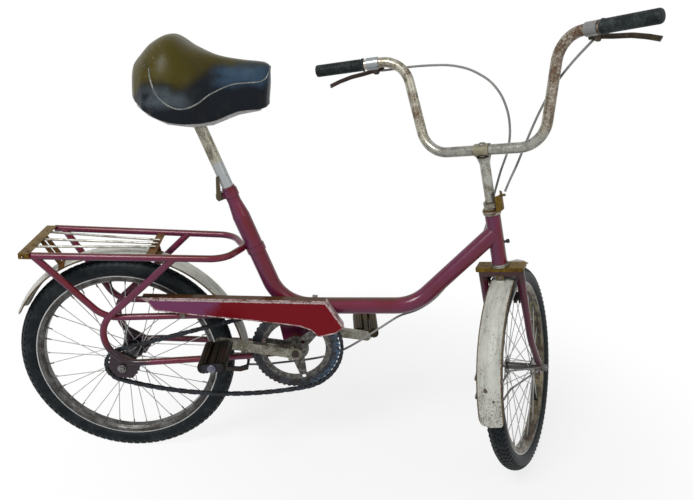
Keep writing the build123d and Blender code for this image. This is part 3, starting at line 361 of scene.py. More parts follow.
# ------------------------------------------------------------------ material graphs
class Graph:
    """Builds the node tree of one material."""

    def __init__(self, name: str) -> None:
        """Makes an empty material.

        Args:
            name: the material's name.
        """
        self.material = bpy.data.materials.new(name)
        self.material.use_nodes = True
        self.tree = self.material.node_tree
        self.shader = self.tree.nodes["Principled BSDF"]
        self.coords = self.tree.nodes.new("ShaderNodeTexCoord")
        self.place = self.coords.outputs["Object"]
        self.normal = self.coords.outputs["Normal"]

    def put(self, socket: Socket, value: Union[Value, Colour, Vector]) -> None:
        """Links a socket, or sets its own value.

        Args:
            socket: the socket.
            value: another node's socket, a number, a colour or a direction.
        """
        if isinstance(value, bpy.types.NodeSocket):
            self.tree.links.new(value, socket)
        elif isinstance(value, (int, float)):
            socket.default_value = value
        elif len(socket.default_value) == 4:
            socket.default_value = (*value, 1.0)
        else:
            socket.default_value = value

    def math(self, operation: str, a: Value, b: Value = 0.0) -> Socket:
        """One step of arithmetic, by the name of its operation.

        Args:
            operation: the operation's name.
            a: the first value.
            b: the second value, where it has one.

        Returns:
            The result.
        """
        node = self.tree.nodes.new("ShaderNodeMath")
        node.operation = operation
        self.put(node.inputs[0], a)
        self.put(node.inputs[1], b)
        return node.outputs[0]

    def along(self, origin: Vector, axis: Vector) -> Socket:
        """How far a place lies along an axis from a point, in metres.

        Args:
            origin: the point in metres.
            axis: the axis's direction.

        Returns:
            The distance.
        """
        shift = self.tree.nodes.new("ShaderNodeVectorMath")
        shift.operation = "SUBTRACT"
        self.put(shift.inputs[0], self.place)
        self.put(shift.inputs[1], origin)
        dot = self.tree.nodes.new("ShaderNodeVectorMath")
        dot.operation = "DOT_PRODUCT"
        self.put(dot.inputs[0], shift.outputs[0])
        self.put(dot.inputs[1], axis)
        return dot.outputs["Value"]

    def radius(self, axes: Axes) -> Socket:
        """How far a place lies from a wheel's axle, in metres.

        Args:
            axes: the wheel's axes.

        Returns:
            The distance.
        """
        centre = place(axes.origin)
        f = self.along(centre, axes.forward)
        h = self.along(centre, axes.up)
        return self.math("SQRT", self.math("ADD", self.math("MULTIPLY", f, f), self.math("MULTIPLY", h, h)))

    def wheel_place(self, axes: Axes, reach: float) -> Socket:
        """A place as across the wheel, along its rim at reach millimetres, and out from its axle.

        Args:
            axes: the wheel's axes.
            reach: the radius at which the rim is measured.

        Returns:
            The place, in metres.
        """
        centre = place(axes.origin)
        turn = self.math("ARCTAN2", self.along(centre, axes.forward), self.along(centre, axes.up))
        joined = self.tree.nodes.new("ShaderNodeCombineXYZ")
        self.put(joined.inputs[0], self.along(centre, axes.left))
        self.put(joined.inputs[1], self.math("MULTIPLY", turn, reach * MILLIMETRE))
        self.put(joined.inputs[2], self.radius(axes))
        return joined.outputs[0]

    def distance(self, point: Vector) -> Socket:
        """How far a place lies from a point, in metres.

        Args:
            point: the point in metres.

        Returns:
            The distance.
        """
        node = self.tree.nodes.new("ShaderNodeVectorMath")
        node.operation = "DISTANCE"
        self.put(node.inputs[0], self.place)
        self.put(node.inputs[1], point)
        return node.outputs["Value"]

    def facing(self, axis: Vector) -> Socket:
        """How far the surface faces an axis, from -1 to 1.

        Args:
            axis: the axis's direction.

        Returns:
            The share.
        """
        dot = self.tree.nodes.new("ShaderNodeVectorMath")
        dot.operation = "DOT_PRODUCT"
        self.put(dot.inputs[0], self.normal)
        self.put(dot.inputs[1], axis)
        return dot.outputs["Value"]

    def noise(self, scale: float, detail: float = 4.0, rough: float = 0.6,
              stretch: Colour = (1.0, 1.0, 1.0), shift: float = 0.0, where: Optional[Socket] = None) -> Socket:
        """Cloudy noise from 0 to 1; stretch scales the axes one by one, of where or of the plain place.

        Args:
            scale: how fine it is.
            detail: how many layers it has.
            rough: how strong its fine layers are.
            stretch: a scale for each axis.
            shift: moves it, so that two noises differ.
            where: the place to read, or none for the plain place.

        Returns:
            The noise.
        """
        mapping = self.tree.nodes.new("ShaderNodeMapping")
        self.put(mapping.inputs["Vector"], where or self.place)
        self.put(mapping.inputs["Scale"], stretch)
        self.put(mapping.inputs["Location"], (shift, shift * 0.7, -shift))
        node = self.tree.nodes.new("ShaderNodeTexNoise")
        self.put(node.inputs["Vector"], mapping.outputs[0])
        self.put(node.inputs["Scale"], scale)
        self.put(node.inputs["Detail"], detail)
        self.put(node.inputs["Roughness"], rough)
        return node.outputs["Fac"]

    def step(self, value: Value, low: float, high: float) -> Socket:
        """A soft step from 0 at low to 1 at high.

        Args:
            value: what is compared.
            low: where the step is 0; it may be above high.
            high: where the step is 1.

        Returns:
            The share.
        """
        node = self.tree.nodes.new("ShaderNodeMapRange")
        node.interpolation_type = "SMOOTHSTEP"
        self.put(node.inputs["Value"], value)
        self.put(node.inputs["From Min"], min(low, high))
        self.put(node.inputs["From Max"], max(low, high))
        self.put(node.inputs["To Min"], 0.0 if low < high else 1.0)
        self.put(node.inputs["To Max"], 1.0 if low < high else 0.0)
        return node.outputs["Result"]

    def blend(self, share: Value, a: Union[Colour, Socket], b: Union[Colour, Socket]) -> Socket:
        """A colour from a, at share 0, to b, at share 1.

        Args:
            share: how much of b shows.
            a: the first colour.
            b: the second colour.

        Returns:
            The mixed colour.
        """
        node = self.tree.nodes.new("ShaderNodeMix")
        node.data_type = "RGBA"
        self.put(node.inputs["Factor"], share)
        self.put(node.inputs[6], a)
        self.put(node.inputs[7], b)
        return node.outputs[2]

    def edge(self, radius: float) -> Socket:
        """How near a sharp edge lies, from 0 to about 1; radius in millimetres.

        Args:
            radius: how wide the worn edge is.

        Returns:
            The share.
        """
        bevel = self.tree.nodes.new("ShaderNodeBevel")
        bevel.samples = 4
        self.put(bevel.inputs["Radius"], radius * MILLIMETRE)
        geometry = self.tree.nodes.new("ShaderNodeNewGeometry")
        dot = self.tree.nodes.new("ShaderNodeVectorMath")
        dot.operation = "DOT_PRODUCT"
        self.put(dot.inputs[0], bevel.outputs[0])
        self.put(dot.inputs[1], geometry.outputs["Normal"])
        return self.step(dot.outputs["Value"], 0.995, 0.86)

    def bump(self, height: Value, depth: float, strength: float = 1.0) -> None:
        """Raises the surface by height times depth in millimetres.

        Args:
            height: the height, about 0 to 1.
            depth: what a height of 1 stands for.
            strength: how strongly it shows.
        """
        node = self.tree.nodes.new("ShaderNodeBump")
        self.put(node.inputs["Height"], height)
        self.put(node.inputs["Distance"], depth * MILLIMETRE)
        self.put(node.inputs["Strength"], strength)
        self.put(self.shader.inputs["Normal"], node.outputs[0])

    def done(self, colour: Union[Colour, Socket], rough: Value, metal: Value = 0.0,
             coat: float = 0.0, specular: float = 0.5) -> bpy.types.Material:
        """Sets the shader and returns the material.

        Args:
            colour: the surface colour.
            rough: its roughness.
            metal: how metallic it is.
            coat: the share of clear coat.
            specular: the strength of plain reflections.

        Returns:
            The material.
        """
        self.put(self.shader.inputs["Base Color"], colour)
        self.put(self.shader.inputs["Roughness"], rough)
        self.put(self.shader.inputs["Metallic"], metal)
        self.put(self.shader.inputs["Coat Weight"], coat)
        self.put(self.shader.inputs["Coat Roughness"], 0.25)
        self.put(self.shader.inputs["Specular IOR Level"], specular)
        return self.material


# ------------------------------------------------------------------ finishes
RUST: Colour = (0.16, 0.055, 0.018)
DARK_RUST: Colour = (0.055, 0.02, 0.008)


@dataclass(frozen=True)
class WornPaint:
    """Aged coloured lacquer with rusty upper edges, chips, a dull bloom and painted shade on the side turned down and
    to the left.

    Args of its fields: colours are linear; shares run from 0 to 1.
    """

    colour: Colour = (0.14, 0.004, 0.014)
    faded: Colour = (0.175, 0.012, 0.052)
    # shade is the purple of the painted shade on the side turned down and to the left.
    shade: Colour = (0.10, 0.018, 0.060)
    dirt: Colour = (0.075, 0.034, 0.014)
    chips: float = 0.35
    top_rust: float = 0.85
    gloss: float = 0.22
    edge_width: float = 0.9
    shine: float = 0.34

    def build(self, name: str, extra: Optional[Callable[[Graph, Socket], Socket]] = None) -> bpy.types.Material:
        """Makes the material; extra may change the colour for one part.

        Args:
            name: the material's name.
            extra: changes the colour for one part, or none.

        Returns:
            The material.
        """
        g = Graph(name)
        cloud = g.noise(9.0, 5.0, 0.65)
        colour = g.blend(g.step(cloud, 0.35, 0.7), self.colour, self.faded)
        # Painted shade: faces turned down and to the left, with cloudy noise mixed in, blend towards the purple shade
        # colour.
        turned = g.math("ADD", g.facing(Vector((-0.8, -0.1, -0.6))), g.math("MULTIPLY", cloud, 0.5))
        colour = g.blend(g.math("MULTIPLY", g.step(turned, -0.1, 0.75), 0.85), colour, self.shade)
        if extra:
            colour = extra(g, colour)
        fine = g.noise(150.0, 5.0, 0.7, shift=3.0)
        top = g.math("MULTIPLY", g.step(g.facing(Vector((0, 0, 1))), 0.72, 0.97),
                     g.step(g.noise(34.0, 6.0, 0.75, shift=1.0), 0.32, 0.46))
        top = g.math("MULTIPLY", top, self.top_rust)
        colour = g.blend(top, colour, self.dirt)
        dull = g.math("MULTIPLY", g.step(g.noise(300.0, 3.0, 0.7), 0.45, 0.75), 0.2)
        colour = g.blend(dull, colour, self.dirt)
        edge = g.math("ADD", g.edge(self.edge_width), g.math("MULTIPLY", fine, 0.55))
        worn = g.step(edge, 0.92, 1.1)
        spot = g.step(g.math("ADD", g.noise(70.0, 6.0, 0.72, shift=7.0), g.math("MULTIPLY", cloud, 0.25)),
                      0.86 - 0.1 * self.chips, 0.9 - 0.1 * self.chips)
        chip = g.math("MAXIMUM", worn, spot)
        bare = g.blend(g.step(fine, 0.42, 0.66), DARK_RUST, (0.17, 0.11, 0.09))
        colour = g.blend(chip, colour, bare)
        rough = g.math("ADD", g.math("MULTIPLY", fine, 0.22), g.math("MULTIPLY", chip, 0.35))
        rough = g.math("ADD", rough, self.gloss - 0.1)
        g.bump(g.math("SUBTRACT", g.math("MULTIPLY", fine, 0.25), chip), 0.35)
        return g.done(colour, rough, specular=self.shine)


@dataclass(frozen=True)
class StreakedEnamel:
    """Grey-white enamel with streaks down the fender, rust specks, brown rolled edges and painted shade on the front
    fender's tab under the fork crown.

    Args of its fields: spots are places where rust has broken through, each with its radius in metres; whatever lies
    farther from the axle than the tab radius takes the dark edge colour as painted shade.
    """

    axes: Axes
    half_width: float = 27.0
    white: Colour = (0.56, 0.56, 0.50)
    grey: Colour = (0.27, 0.275, 0.24)
    edge_colour: Colour = (0.13, 0.095, 0.03)
    rust_from: float = 0.10
    shaded_tab_from: float = 0.2648
    spots: tuple[tuple[Vector, float], ...] = ()

    def build(self, name: str) -> bpy.types.Material:
        """Makes the material.

        Args:
            name: the material's name.

        Returns:
            The material.
        """
        g = Graph(name)
        centre = place(self.axes.origin)
        across = g.math("ABSOLUTE", g.along(centre, self.axes.left))
        height = g.along(centre, Vector((0, 0, 1)))
        where = g.wheel_place(self.axes, 265.0)
        streak = g.noise(150.0, 6.0, 0.7, stretch=(1.0, 0.16, 0.5), where=where)
        cloud = g.noise(15.0, 5.0, 0.7, shift=2.0)
        grime = g.math("ADD", streak, g.math("MULTIPLY", cloud, 0.45))
        colour = g.blend(g.step(grime, 0.62, 1.02), self.white, self.grey)
        low = g.step(height, self.rust_from + 0.06, self.rust_from - 0.22)
        pit = g.noise(330.0, 5.0, 0.72, shift=5.0)
        level = g.math("ADD", g.math("MULTIPLY", low, 0.13), g.math("MULTIPLY", cloud, 0.3))
        rust = g.step(g.math("ADD", pit, level), 0.755, 0.79)
        colour = g.blend(g.math("MULTIPLY", rust, 0.85), colour, (0.09, 0.045, 0.02))
        patch = g.noise(46.0, 6.0, 0.72, shift=9.0)
        patch = g.step(g.math("ADD", patch, g.math("MULTIPLY", low, 0.09)), 0.655, 0.68)
        for spot, size in self.spots:
            near = g.math("ADD", g.distance(spot), g.math("MULTIPLY", g.noise(160.0, 6.0, 0.75), 0.009))
            patch = g.math("MAXIMUM", patch, g.step(near, size + 0.0052, size + 0.0044))
        colour = g.blend(g.math("MULTIPLY", patch, 0.9), colour, DARK_RUST)
        rim = g.math("ADD", g.math("MULTIPLY", across, 1000.0 / self.half_width),
                     g.math("MULTIPLY", g.noise(150.0, 5.0, 0.7), 0.16))
        # The rolled edges are brown rust; past the tab radius the tab takes the same dark colour as painted shade under
        # the fork crown.
        edge = g.math("MAXIMUM", g.step(rim, 0.985, 1.04),
                      g.step(g.radius(self.axes), self.shaded_tab_from, self.shaded_tab_from + 0.0008))
        colour = g.blend(edge, colour, g.blend(g.step(pit, 0.4, 0.6), self.edge_colour, DARK_RUST))
        g.bump(g.math("ADD", g.math("MULTIPLY", streak, 0.4), g.math("MULTIPLY", rust, -0.7)), 0.4)
        rough = g.math("ADD", g.math("MULTIPLY", rust, 0.4), g.math("ADD", g.math("MULTIPLY", cloud, 0.2), 0.28))
        return g.done(colour, rough, specular=0.35)


@dataclass(frozen=True)
class PittedMetal:
    """Plated or bare metal with mottled rust.

    Args of its fields: rust is the share of the surface that has rusted through.
    """

    colour: Colour = (0.36, 0.345, 0.30)
    stain: Colour = (0.13, 0.105, 0.07)
    rust: float = 0.4
    grain: float = 160.0
    gloss: float = 0.28
    metal: float = 0.6
    rust_colour: Colour = (0.035, 0.017, 0.008)
    shine: float = 0.4

    def build(self, name: str, extra: Optional[Callable[[Graph, Socket], Socket]] = None) -> bpy.types.Material:
        """Makes the material; extra may change the clean metal's colour for one part.

        Args:
            name: the material's name.
            extra: changes the colour for one part, or none.

        Returns:
            The material.
        """
        g = Graph(name)
        cloud = g.noise(42.0, 6.0, 0.7)
        fine = g.noise(self.grain, 6.0, 0.75, shift=4.0)
        tiny = g.noise(self.grain * 3.0, 3.0, 0.7, shift=6.0)
        mottle = g.noise(self.grain * 1.4, 5.0, 0.75, shift=8.0)
        mottle = g.math("ADD", g.math("MULTIPLY", mottle, 0.8), g.math("MULTIPLY", cloud, 0.9))
        colour = g.blend(g.step(mottle, 0.76, 0.96), self.colour, self.stain)
        if extra:
            colour = extra(g, colour)
        level = g.math("ADD", g.math("MULTIPLY", fine, 0.75), g.math("MULTIPLY", cloud, 0.55))
        level = g.math("ADD", level, g.math("MULTIPLY", g.edge(0.8), 0.05))
        rust = g.step(level, 0.835 - 0.3 * self.rust, 0.915 - 0.3 * self.rust)
        brown = g.blend(g.step(tiny, 0.35, 0.65), self.rust_colour, RUST)
        colour = g.blend(g.math("MULTIPLY", rust, 0.9), colour, brown)
        rough = g.math("ADD", g.math("MULTIPLY", rust, 0.45), g.math("MULTIPLY", fine, 0.22))
        rough = g.math("ADD", rough, self.gloss - 0.08)
        metal = g.math("SUBTRACT", self.metal, g.math("MULTIPLY", rust, self.metal * 0.8))
        g.bump(g.math("SUBTRACT", g.math("MULTIPLY", fine, 0.3), g.math("MULTIPLY", rust, 0.5)), 0.3)
        return g.done(colour, rough, metal, specular=self.shine)


@dataclass(frozen=True)
class Rubber:
    """Black rubber or plastic, greyed by patchy dust and on worn edges."""

    colour: Colour = (0.006, 0.008, 0.009)
    dust: Colour = (0.055, 0.06, 0.06)
    dusty: float = 0.45
    gloss: float = 0.48

    def build(self, name: str) -> bpy.types.Material:
        """Makes the material.

        Args:
            name: the material's name.

        Returns:
            The material.
        """
        g = Graph(name)
        fine = g.noise(320.0, 4.0, 0.7)
        cloud = g.noise(30.0, 5.0, 0.7, shift=2.0)
        dust = g.step(g.math("ADD", g.math("MULTIPLY", fine, 0.5), cloud), 0.68, 0.95)
        worn = g.math("MULTIPLY", g.edge(0.9), 0.6)
        share = g.math("MULTIPLY", g.math("MAXIMUM", dust, worn), self.dusty)
        g.bump(fine, 0.15)
        rough = g.math("ADD", g.math("MULTIPLY", cloud, 0.25), self.gloss - 0.1)
        return g.done(g.blend(share, self.colour, self.dust), rough, specular=0.15)


@dataclass(frozen=True)
class AgedVinyl:
    """The saddle's dark cover: blue-black sides, grime and scuffs, with a painted olive sheen on top, a painted blue
    sheen on the nose and a painted silver highlight on the flanks.
    """

    # top is a painted olive sheen on the black vinyl; sheen is a painted blue reflection on the nose; silver is a
    # painted highlight on the flanks.
    top: Colour = (0.048, 0.037, 0.001)
    side: Colour = (0.0015, 0.004, 0.008)
    sheen: Colour = (0.035, 0.075, 0.125)
    silver: Colour = (0.12, 0.15, 0.17)
    scuff: Colour = (0.20, 0.19, 0.15)
    grime: Colour = (0.016, 0.015, 0.008)
    rear: Vector = field(default_factory=lambda: place((46, 0, 700)))

    def build(self, name: str) -> bpy.types.Material:
        """Makes the material.

        Args:
            name: the material's name.

        Returns:
            The material.
        """
        g = Graph(name)
        cloud = g.math("MULTIPLY", g.math("SUBTRACT", g.noise(16.0, 5.0, 0.65), 0.5), 0.05)
        ahead = g.along(self.rear, Vector((1, 0, 0)))
        height = g.math("ADD", g.along(place((0, 0, 0)), Vector((0, 0, 1))), cloud)
        rise = g.math("MULTIPLY", g.step(g.math("ADD", ahead, cloud), 0.115, 0.175), 0.036)
        drop = g.math("MULTIPLY", g.step(ahead, 0.045, 0.0), 0.04)
        level = g.math("ADD", g.math("SUBTRACT", height, rise), drop)
        # Painted olive sheen: the upper part, above a line that rises towards the nose, turns olive.
        share = g.step(level, 0.625, 0.655)
        colour = g.blend(share, self.side, self.top)
        # Painted reflections: a patchy blue sheen on the nose and a patchy silver highlight on the flanks, weaker where
        # the olive sheen lies.
        nose = g.math("MULTIPLY", g.step(ahead, 0.12, 0.2), g.step(height, 0.628, 0.652))
        flank_highlight = g.math("MULTIPLY", g.step(ahead, 0.02, 0.06), g.step(ahead, 0.16, 0.1))
        flank_highlight = g.math("MULTIPLY", flank_highlight, g.math("MULTIPLY", g.step(height, 0.592, 0.608), g.step(height, 0.642, 0.62)))
        patchy = g.step(g.noise(18.0, 4.0, 0.6, stretch=(0.6, 1.0, 1.4), shift=5.0), 0.36, 0.62)
        clear = g.math("SUBTRACT", 0.9, g.math("MULTIPLY", share, 0.8))
        colour = g.blend(g.math("MULTIPLY", g.math("MULTIPLY", nose, patchy), g.math("MULTIPLY", clear, 0.75)),
                         colour, self.sheen)
        colour = g.blend(g.math("MULTIPLY", g.math("MULTIPLY", flank_highlight, patchy), g.math("MULTIPLY", clear, 0.5)),
                         colour, self.silver)
        grime = g.step(g.noise(38.0, 6.0, 0.72, shift=14.0), 0.5, 0.68)
        colour = g.blend(g.math("MULTIPLY", grime, 0.4), colour, self.grime)
        scrape = g.step(g.noise(110.0, 6.0, 0.75, stretch=(0.5, 1.0, 1.6), shift=3.0), 0.58, 0.66)
        rubbed = g.math("MULTIPLY", g.step(ahead, 0.10, 0.04), g.step(height, 0.635, 0.66))
        colour = g.blend(g.math("MULTIPLY", g.math("MULTIPLY", scrape, rubbed), 0.7), colour, self.scuff)
        grain = g.noise(520.0, 3.0, 0.6)
        g.bump(g.math("ADD", grain, g.math("MULTIPLY", g.noise(60.0, 4.0), 1.5)), 0.22)
        rough = g.math("ADD", g.math("MULTIPLY", cloud, 3.0), 0.38)
        return g.done(colour, rough, specular=0.16)


# ------------------------------------------------------------------ saddle
@dataclass
class Saddle:
    """The soft cover: a gathered vinyl skin with a seam, a rolled hem and creases.

    Stations run from the tail, 0, to the nose, 1: share, half width, top and hem heights in millimetres.
    """

    rear_x: float = 46.0
    length: float = 272.0
    fullness: float = 2.66
    rows: int = 150
    columns: int = 121
    lip: float = 9.0
    stations: tuple[tuple[float, float, float, float], ...] = (
        (0.0, 20.0, 655.0, 613.0), (0.02, 40.0, 668.0, 608.0), (0.06, 65.0, 682.0, 602.0),
        (0.16, 92.5, 711.0, 588.0), (0.30, 104.0, 727.4, 575.0), (0.45, 95.5, 707.2, 571.0),
        (0.60, 55.5, 692.3, 571.5), (0.78, 40.3, 686.0, 591.5), (0.94, 34.8, 684.4, 598.0),
        (0.985, 24.0, 680.0, 601.0), (1.0, 10.0, 674.0, 604.0))
    seam: tuple[tuple[float, float], ...] = (
        (0.19, -57.0), (0.21, -70.0), (0.26, -80.0), (0.36, -84.0), (0.45, -83.0), (0.52, -79.0),
        (0.60, -71.0), (0.72, -64.5), (0.85, -62.5), (0.95, -59.0), (0.988, -42.0), (0.996, 0.0))

    def sizes(self, t: float) -> tuple[float, float, float]:
        """Half width, top and hem heights at a share of the length.

        Args:
            t: the share of the length, from the tail.

        Returns:
            The three sizes in millimetres.
        """
        known = self.stations
        i = next((k for k in range(len(known) - 1) if t <= known[k + 1][0]), len(known) - 2)
        a, b = known[i], known[i + 1]
        before, after = known[max(i - 1, 0)], known[min(i + 2, len(known) - 1)]
        span = b[0] - a[0]
        s = (t - a[0]) / span
        found = []
        for k in (1, 2, 3):
            m0 = (b[k] - before[k]) / (b[0] - before[0]) * span if i else (b[k] - a[k])
            m1 = (after[k] - a[k]) / (after[0] - a[0]) * span if i < len(known) - 2 else (b[k] - a[k])
            found.append(a[k] * (2 * s ** 3 - 3 * s ** 2 + 1) + m0 * (s ** 3 - 2 * s ** 2 + s)
                         + b[k] * (3 * s ** 2 - 2 * s ** 3) + m1 * (s ** 3 - s ** 2))
        return found[0], found[1], found[2]

    def surface(self, t: float, angle: float) -> Vector:
        """A point on the plain cover in millimetres; angle in degrees from the crest, left positive.

        Args:
            t: the share of the length, from the tail.
            angle: degrees from the crest, left positive.

        Returns:
            The point.
        """
        half, top, hem = self.sizes(t)
        phi = radians(angle)
        wide = abs(sin(phi)) ** (2 / self.fullness)
        high = max(cos(phi), 0.0) ** (2 / self.fullness)
        return Vector((self.rear_x + t * self.length, copysign(half * wide, phi), hem + (top - hem) * high))

    def outward(self, t: float, angle: float) -> Vector:
        """The plain cover's outward direction.

        Args:
            t: the share of the length, from the tail.
            angle: degrees from the crest, left positive.

        Returns:
            A direction of length one.
        """
        t = min(max(t, 0.01), 0.99)
        angle = min(max(angle, -88.0), 88.0)
        along = self.surface(t + 0.005, angle) - self.surface(t - 0.005, angle)
        round_it = self.surface(t, angle + 1.0) - self.surface(t, angle - 1.0)
        return along.cross(round_it).normalized()

    def crease(self, t: float, angle: float) -> float:
        """How far the skin stands off its plain shape in millimetres.

        Args:
            t: the share of the length, from the tail.
            angle: degrees from the crest, left positive.

        Returns:
            The distance, negative where it sinks in.
        """
        low = max(0.0, (abs(angle) - 62.0) / 28.0)
        gather = sin(t * 62.0 + 2.0 * noise.noise(Vector((t * 9.0, angle * 0.03, 0.0))))
        fold = low ** 1.4 * (0.7 * gather + 0.7 * noise.noise(Vector((t * 38.0, angle * 0.05, 4.0))))
        soft = 1.5 * noise.noise(Vector((t * 4.2, angle * 0.028, 8.0)))
        wrinkle = abs(noise.noise(Vector((t * 30.0, angle * 0.16, 2.0))))
        slack = exp(-((t - 0.15) / 0.07) ** 2 - ((abs(angle) - 58.0) / 13.0) ** 2)
        sag = -2.2 * exp(-((t - 0.58) / 0.09) ** 2 - ((abs(angle) - 55.0) / 28.0) ** 2)
        return fold + soft + sag - 1.1 * slack * (1.0 - min(1.0, wrinkle * 4.0)) - 0.6 * low

    def skin_point(self, t: float, angle: float) -> Vector:
        """A point on the creased skin in millimetres."""
        return self.surface(t, angle) + self.outward(t, angle) * (self.crease(t, angle) - 0.4)

    def build_skin(self, finish: bpy.types.Material) -> None:
        """Makes the cover with its turned-in hem.

        Args:
            finish: the cover's material.
        """
        rows = []
        for i in range(self.rows):
            t = 0.5 - 0.5 * cos(pi * (0.02 + 0.96 * i / (self.rows - 1)))
            half, _, _ = self.sizes(t)
            row = []
            for side in (-1, 1):
                edge = self.skin_point(t, side * 90.0)
                turned = []
                for k in range(1, 6):
                    a = radians(38.0 * k)
                    inward = min(self.lip, half * 0.5) * 0.5 * (1 - cos(a)) if k < 5 else min(self.lip, half * 0.5) + 3
                    turned.append(edge + Vector((0, -side * inward, -3.2 * sin(a) if k < 5 else 4.0)))
                row.append(turned)
            body = [self.skin_point(t, -90.0 + 180.0 * j / (self.columns - 1)) for j in range(self.columns)]
            rows.append([place(p) for p in row[0][::-1] + body + row[1]])
        shape = Shape().grid(rows)
        for end, flip in ((rows[0], True), (rows[-1], False)):
            shape.cap(end, flip)
        skin = shape.piece("saddle_skin", Body.FRAME, finish, "saddle_vinyl", 70.0)
        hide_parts("saddle_cover")

    def build_seam(self, finish: bpy.types.Material) -> None:
        """Makes the piping along the seam, on the right and on the left.

        Args:
            finish: the piping's material.
        """
        shape = Shape()
        for side in (-1, 1):
            shares = smooth_line([Vector((t, -side * a / 100.0, 0.0)) for t, a in self.seam], 14)
            line = [place(self.skin_point(p.x, -p.y * 100.0) + self.outward(p.x, -p.y * 100.0) * 0.3) for p in shares]
            shape.tube(line, 1.45 * MILLIMETRE, 8)
        shape.piece("saddle_piping", Body.FRAME, finish, "saddle_vinyl", 60.0)

    def build(self) -> None:
        """Makes the whole saddle cover."""
        vinyl = AgedVinyl().build("aged_vinyl")
        self.build_skin(vinyl)
        self.build_seam(Rubber(colour=(0.13, 0.14, 0.14), dust=(0.34, 0.34, 0.3), dusty=0.9).build("piping_vinyl"))


# ------------------------------------------------------------------ wheels
@dataclass
class Tyre:
    """A tyre with a treaded crown and ribbed walls. Sizes in millimetres."""

    centre: Axes
    body: Body
    node: str
    core_r: float = 223.7
    wall_r: float = 20.6
    block: float = 1.75
    pitches: int = 92

    def on(self, turn: float, around: float, out: float) -> Vector:
        """A point at an angle round the wheel and an angle round the section, both in radians.

        Args:
            turn: the angle round the wheel, from straight ahead.
            around: the angle round the section, from the crown.
            out: how far it stands off the wall in millimetres.

        Returns:
            The point in metres.
        """
        reach = self.core_r + cos(around) * (self.wall_r + out)
        across = sin(around) * (self.wall_r + out)
        return self.centre.point(cos(turn) * reach, across, sin(turn) * reach)

    def build_carcass(self, finish: bpy.types.Material) -> None:
        """Makes the plain tyre with fine ribs on its walls.

        Args:
            finish: the pieces' material.
        """
        rows = []
        for i in range(120):
            turn = 2 * pi * i / 120
            row = []
            for j in range(49):
                around = radians(-136.0 + 272.0 * j / 48)
                far = abs(degrees(around))
                rib = 0.45 if 74 < far < 80 or 88 < far < 92 or 100 < far < 106 else 0.0
                row.append(self.on(turn, around, rib))
            rows.append(row)
        shape = Shape().grid(rows, round_columns=True)
        thing = shape.piece(self.node + "_carcass", self.body, finish, "tyre_rubber", 50.0)
        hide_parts(self.node)

    def build_tread(self, finish: bpy.types.Material) -> None:
        """Makes the tread: a zigzag rib, two rows of blocks and cleats on the shoulders.

        Args:
            finish: the pieces' material.
        """
        shape = Shape()
        step = 2 * pi / self.pitches
        lanes = ((-13, -3, 0.30, 0.25), (3, 13, 0.30, -0.25), (-33, -17, 0.28, -0.3), (17, 33, 0.28, 0.3),
                 (-62, -38, 0.24, 0.35), (38, 62, 0.24, -0.35))
        for k in range(self.pitches):
            for n, (low, high, half, slant) in enumerate(lanes):
                middle = step * (k + 0.5 * (n % 2) + 0.25 * (n // 2))
                corners = ((middle - step * (half + slant * 0.5), low), (middle + step * (half - slant * 0.5), low),
                           (middle + step * (half + slant * 0.5), high), (middle - step * (half - slant * 0.5), high))
                inner = [self.on(turn, radians(a), -0.6) for turn, a in corners]
                mid_turn = sum(c[0] for c in corners) / 4
                mid_a = (low + high) / 2
                outer = [self.on(mid_turn + (turn - mid_turn) * 0.9, radians(mid_a + (a - mid_a) * 0.92), self.block)
                         for turn, a in corners]
                shape.grid([inner, outer], round_rows=True)
                shape.cap(outer, flip=True)
        shape.piece(self.node + "_tread", self.body, finish, "tyre_rubber", 25.0)

    def build(self, finish: bpy.types.Material) -> None:
        """Makes the whole tyre."""
        self.build_carcass(finish)
        self.build_tread(finish)


@dataclass
class WheelFittings:
    """Spoke nipples and a valve on a rim. Sizes in millimetres."""

    centre: Axes
    body: Body
    name: str
    rim_inner: float = 192.5
    spokes_a_side: int = 18
    valve_at: float = 100.0
    nipple: tuple[tuple[float, float], ...] = ((-0.5, 2.6), (1.0, 2.4), (1.4, 1.7), (11.0, 1.6), (11.6, 0.9))
    valve: tuple[tuple[float, float], ...] = (
        (-1.0, 6.0), (1.5, 5.2), (3.0, 3.4), (16.0, 3.0), (17.0, 4.0), (26.0, 4.0), (27.5, 3.0), (27.8, 0.1))

    def build(self, steel: bpy.types.Material, rubber: bpy.types.Material) -> None:
        """Makes the nipples and the valve.

        Args:
            steel: the nipples' material.
            rubber: the valve's material.
        """
        shape = Shape()
        step = 360.0 / self.spokes_a_side
        for side in (-1, 1):
            for i in range(self.spokes_a_side):
                sense = 1 if i % 2 else -1
                goal = radians(step * i + (step / 2 if side > 0 else 0) + sense * step * 2.0)
                foot = self.centre.point(cos(goal) * self.rim_inner, side * 3.0, sin(goal) * self.rim_inner)
                inward = (self.centre.point(0, side * 8.0, 0) - foot).normalized()
                shape.lathe(foot, inward, self.nipple, 8)
        shape.piece(self.name + "_nipples", self.body, steel, "wire_steel")
        turn = radians(self.valve_at)
        foot = self.centre.point(cos(turn) * self.rim_inner, 0, sin(turn) * self.rim_inner)
        inward = (self.centre.point(0, 0, 0) - foot).normalized()
        Shape().lathe(foot, inward, self.valve, 16).piece(self.name + "_valve", self.body, rubber, "tyre_rubber")


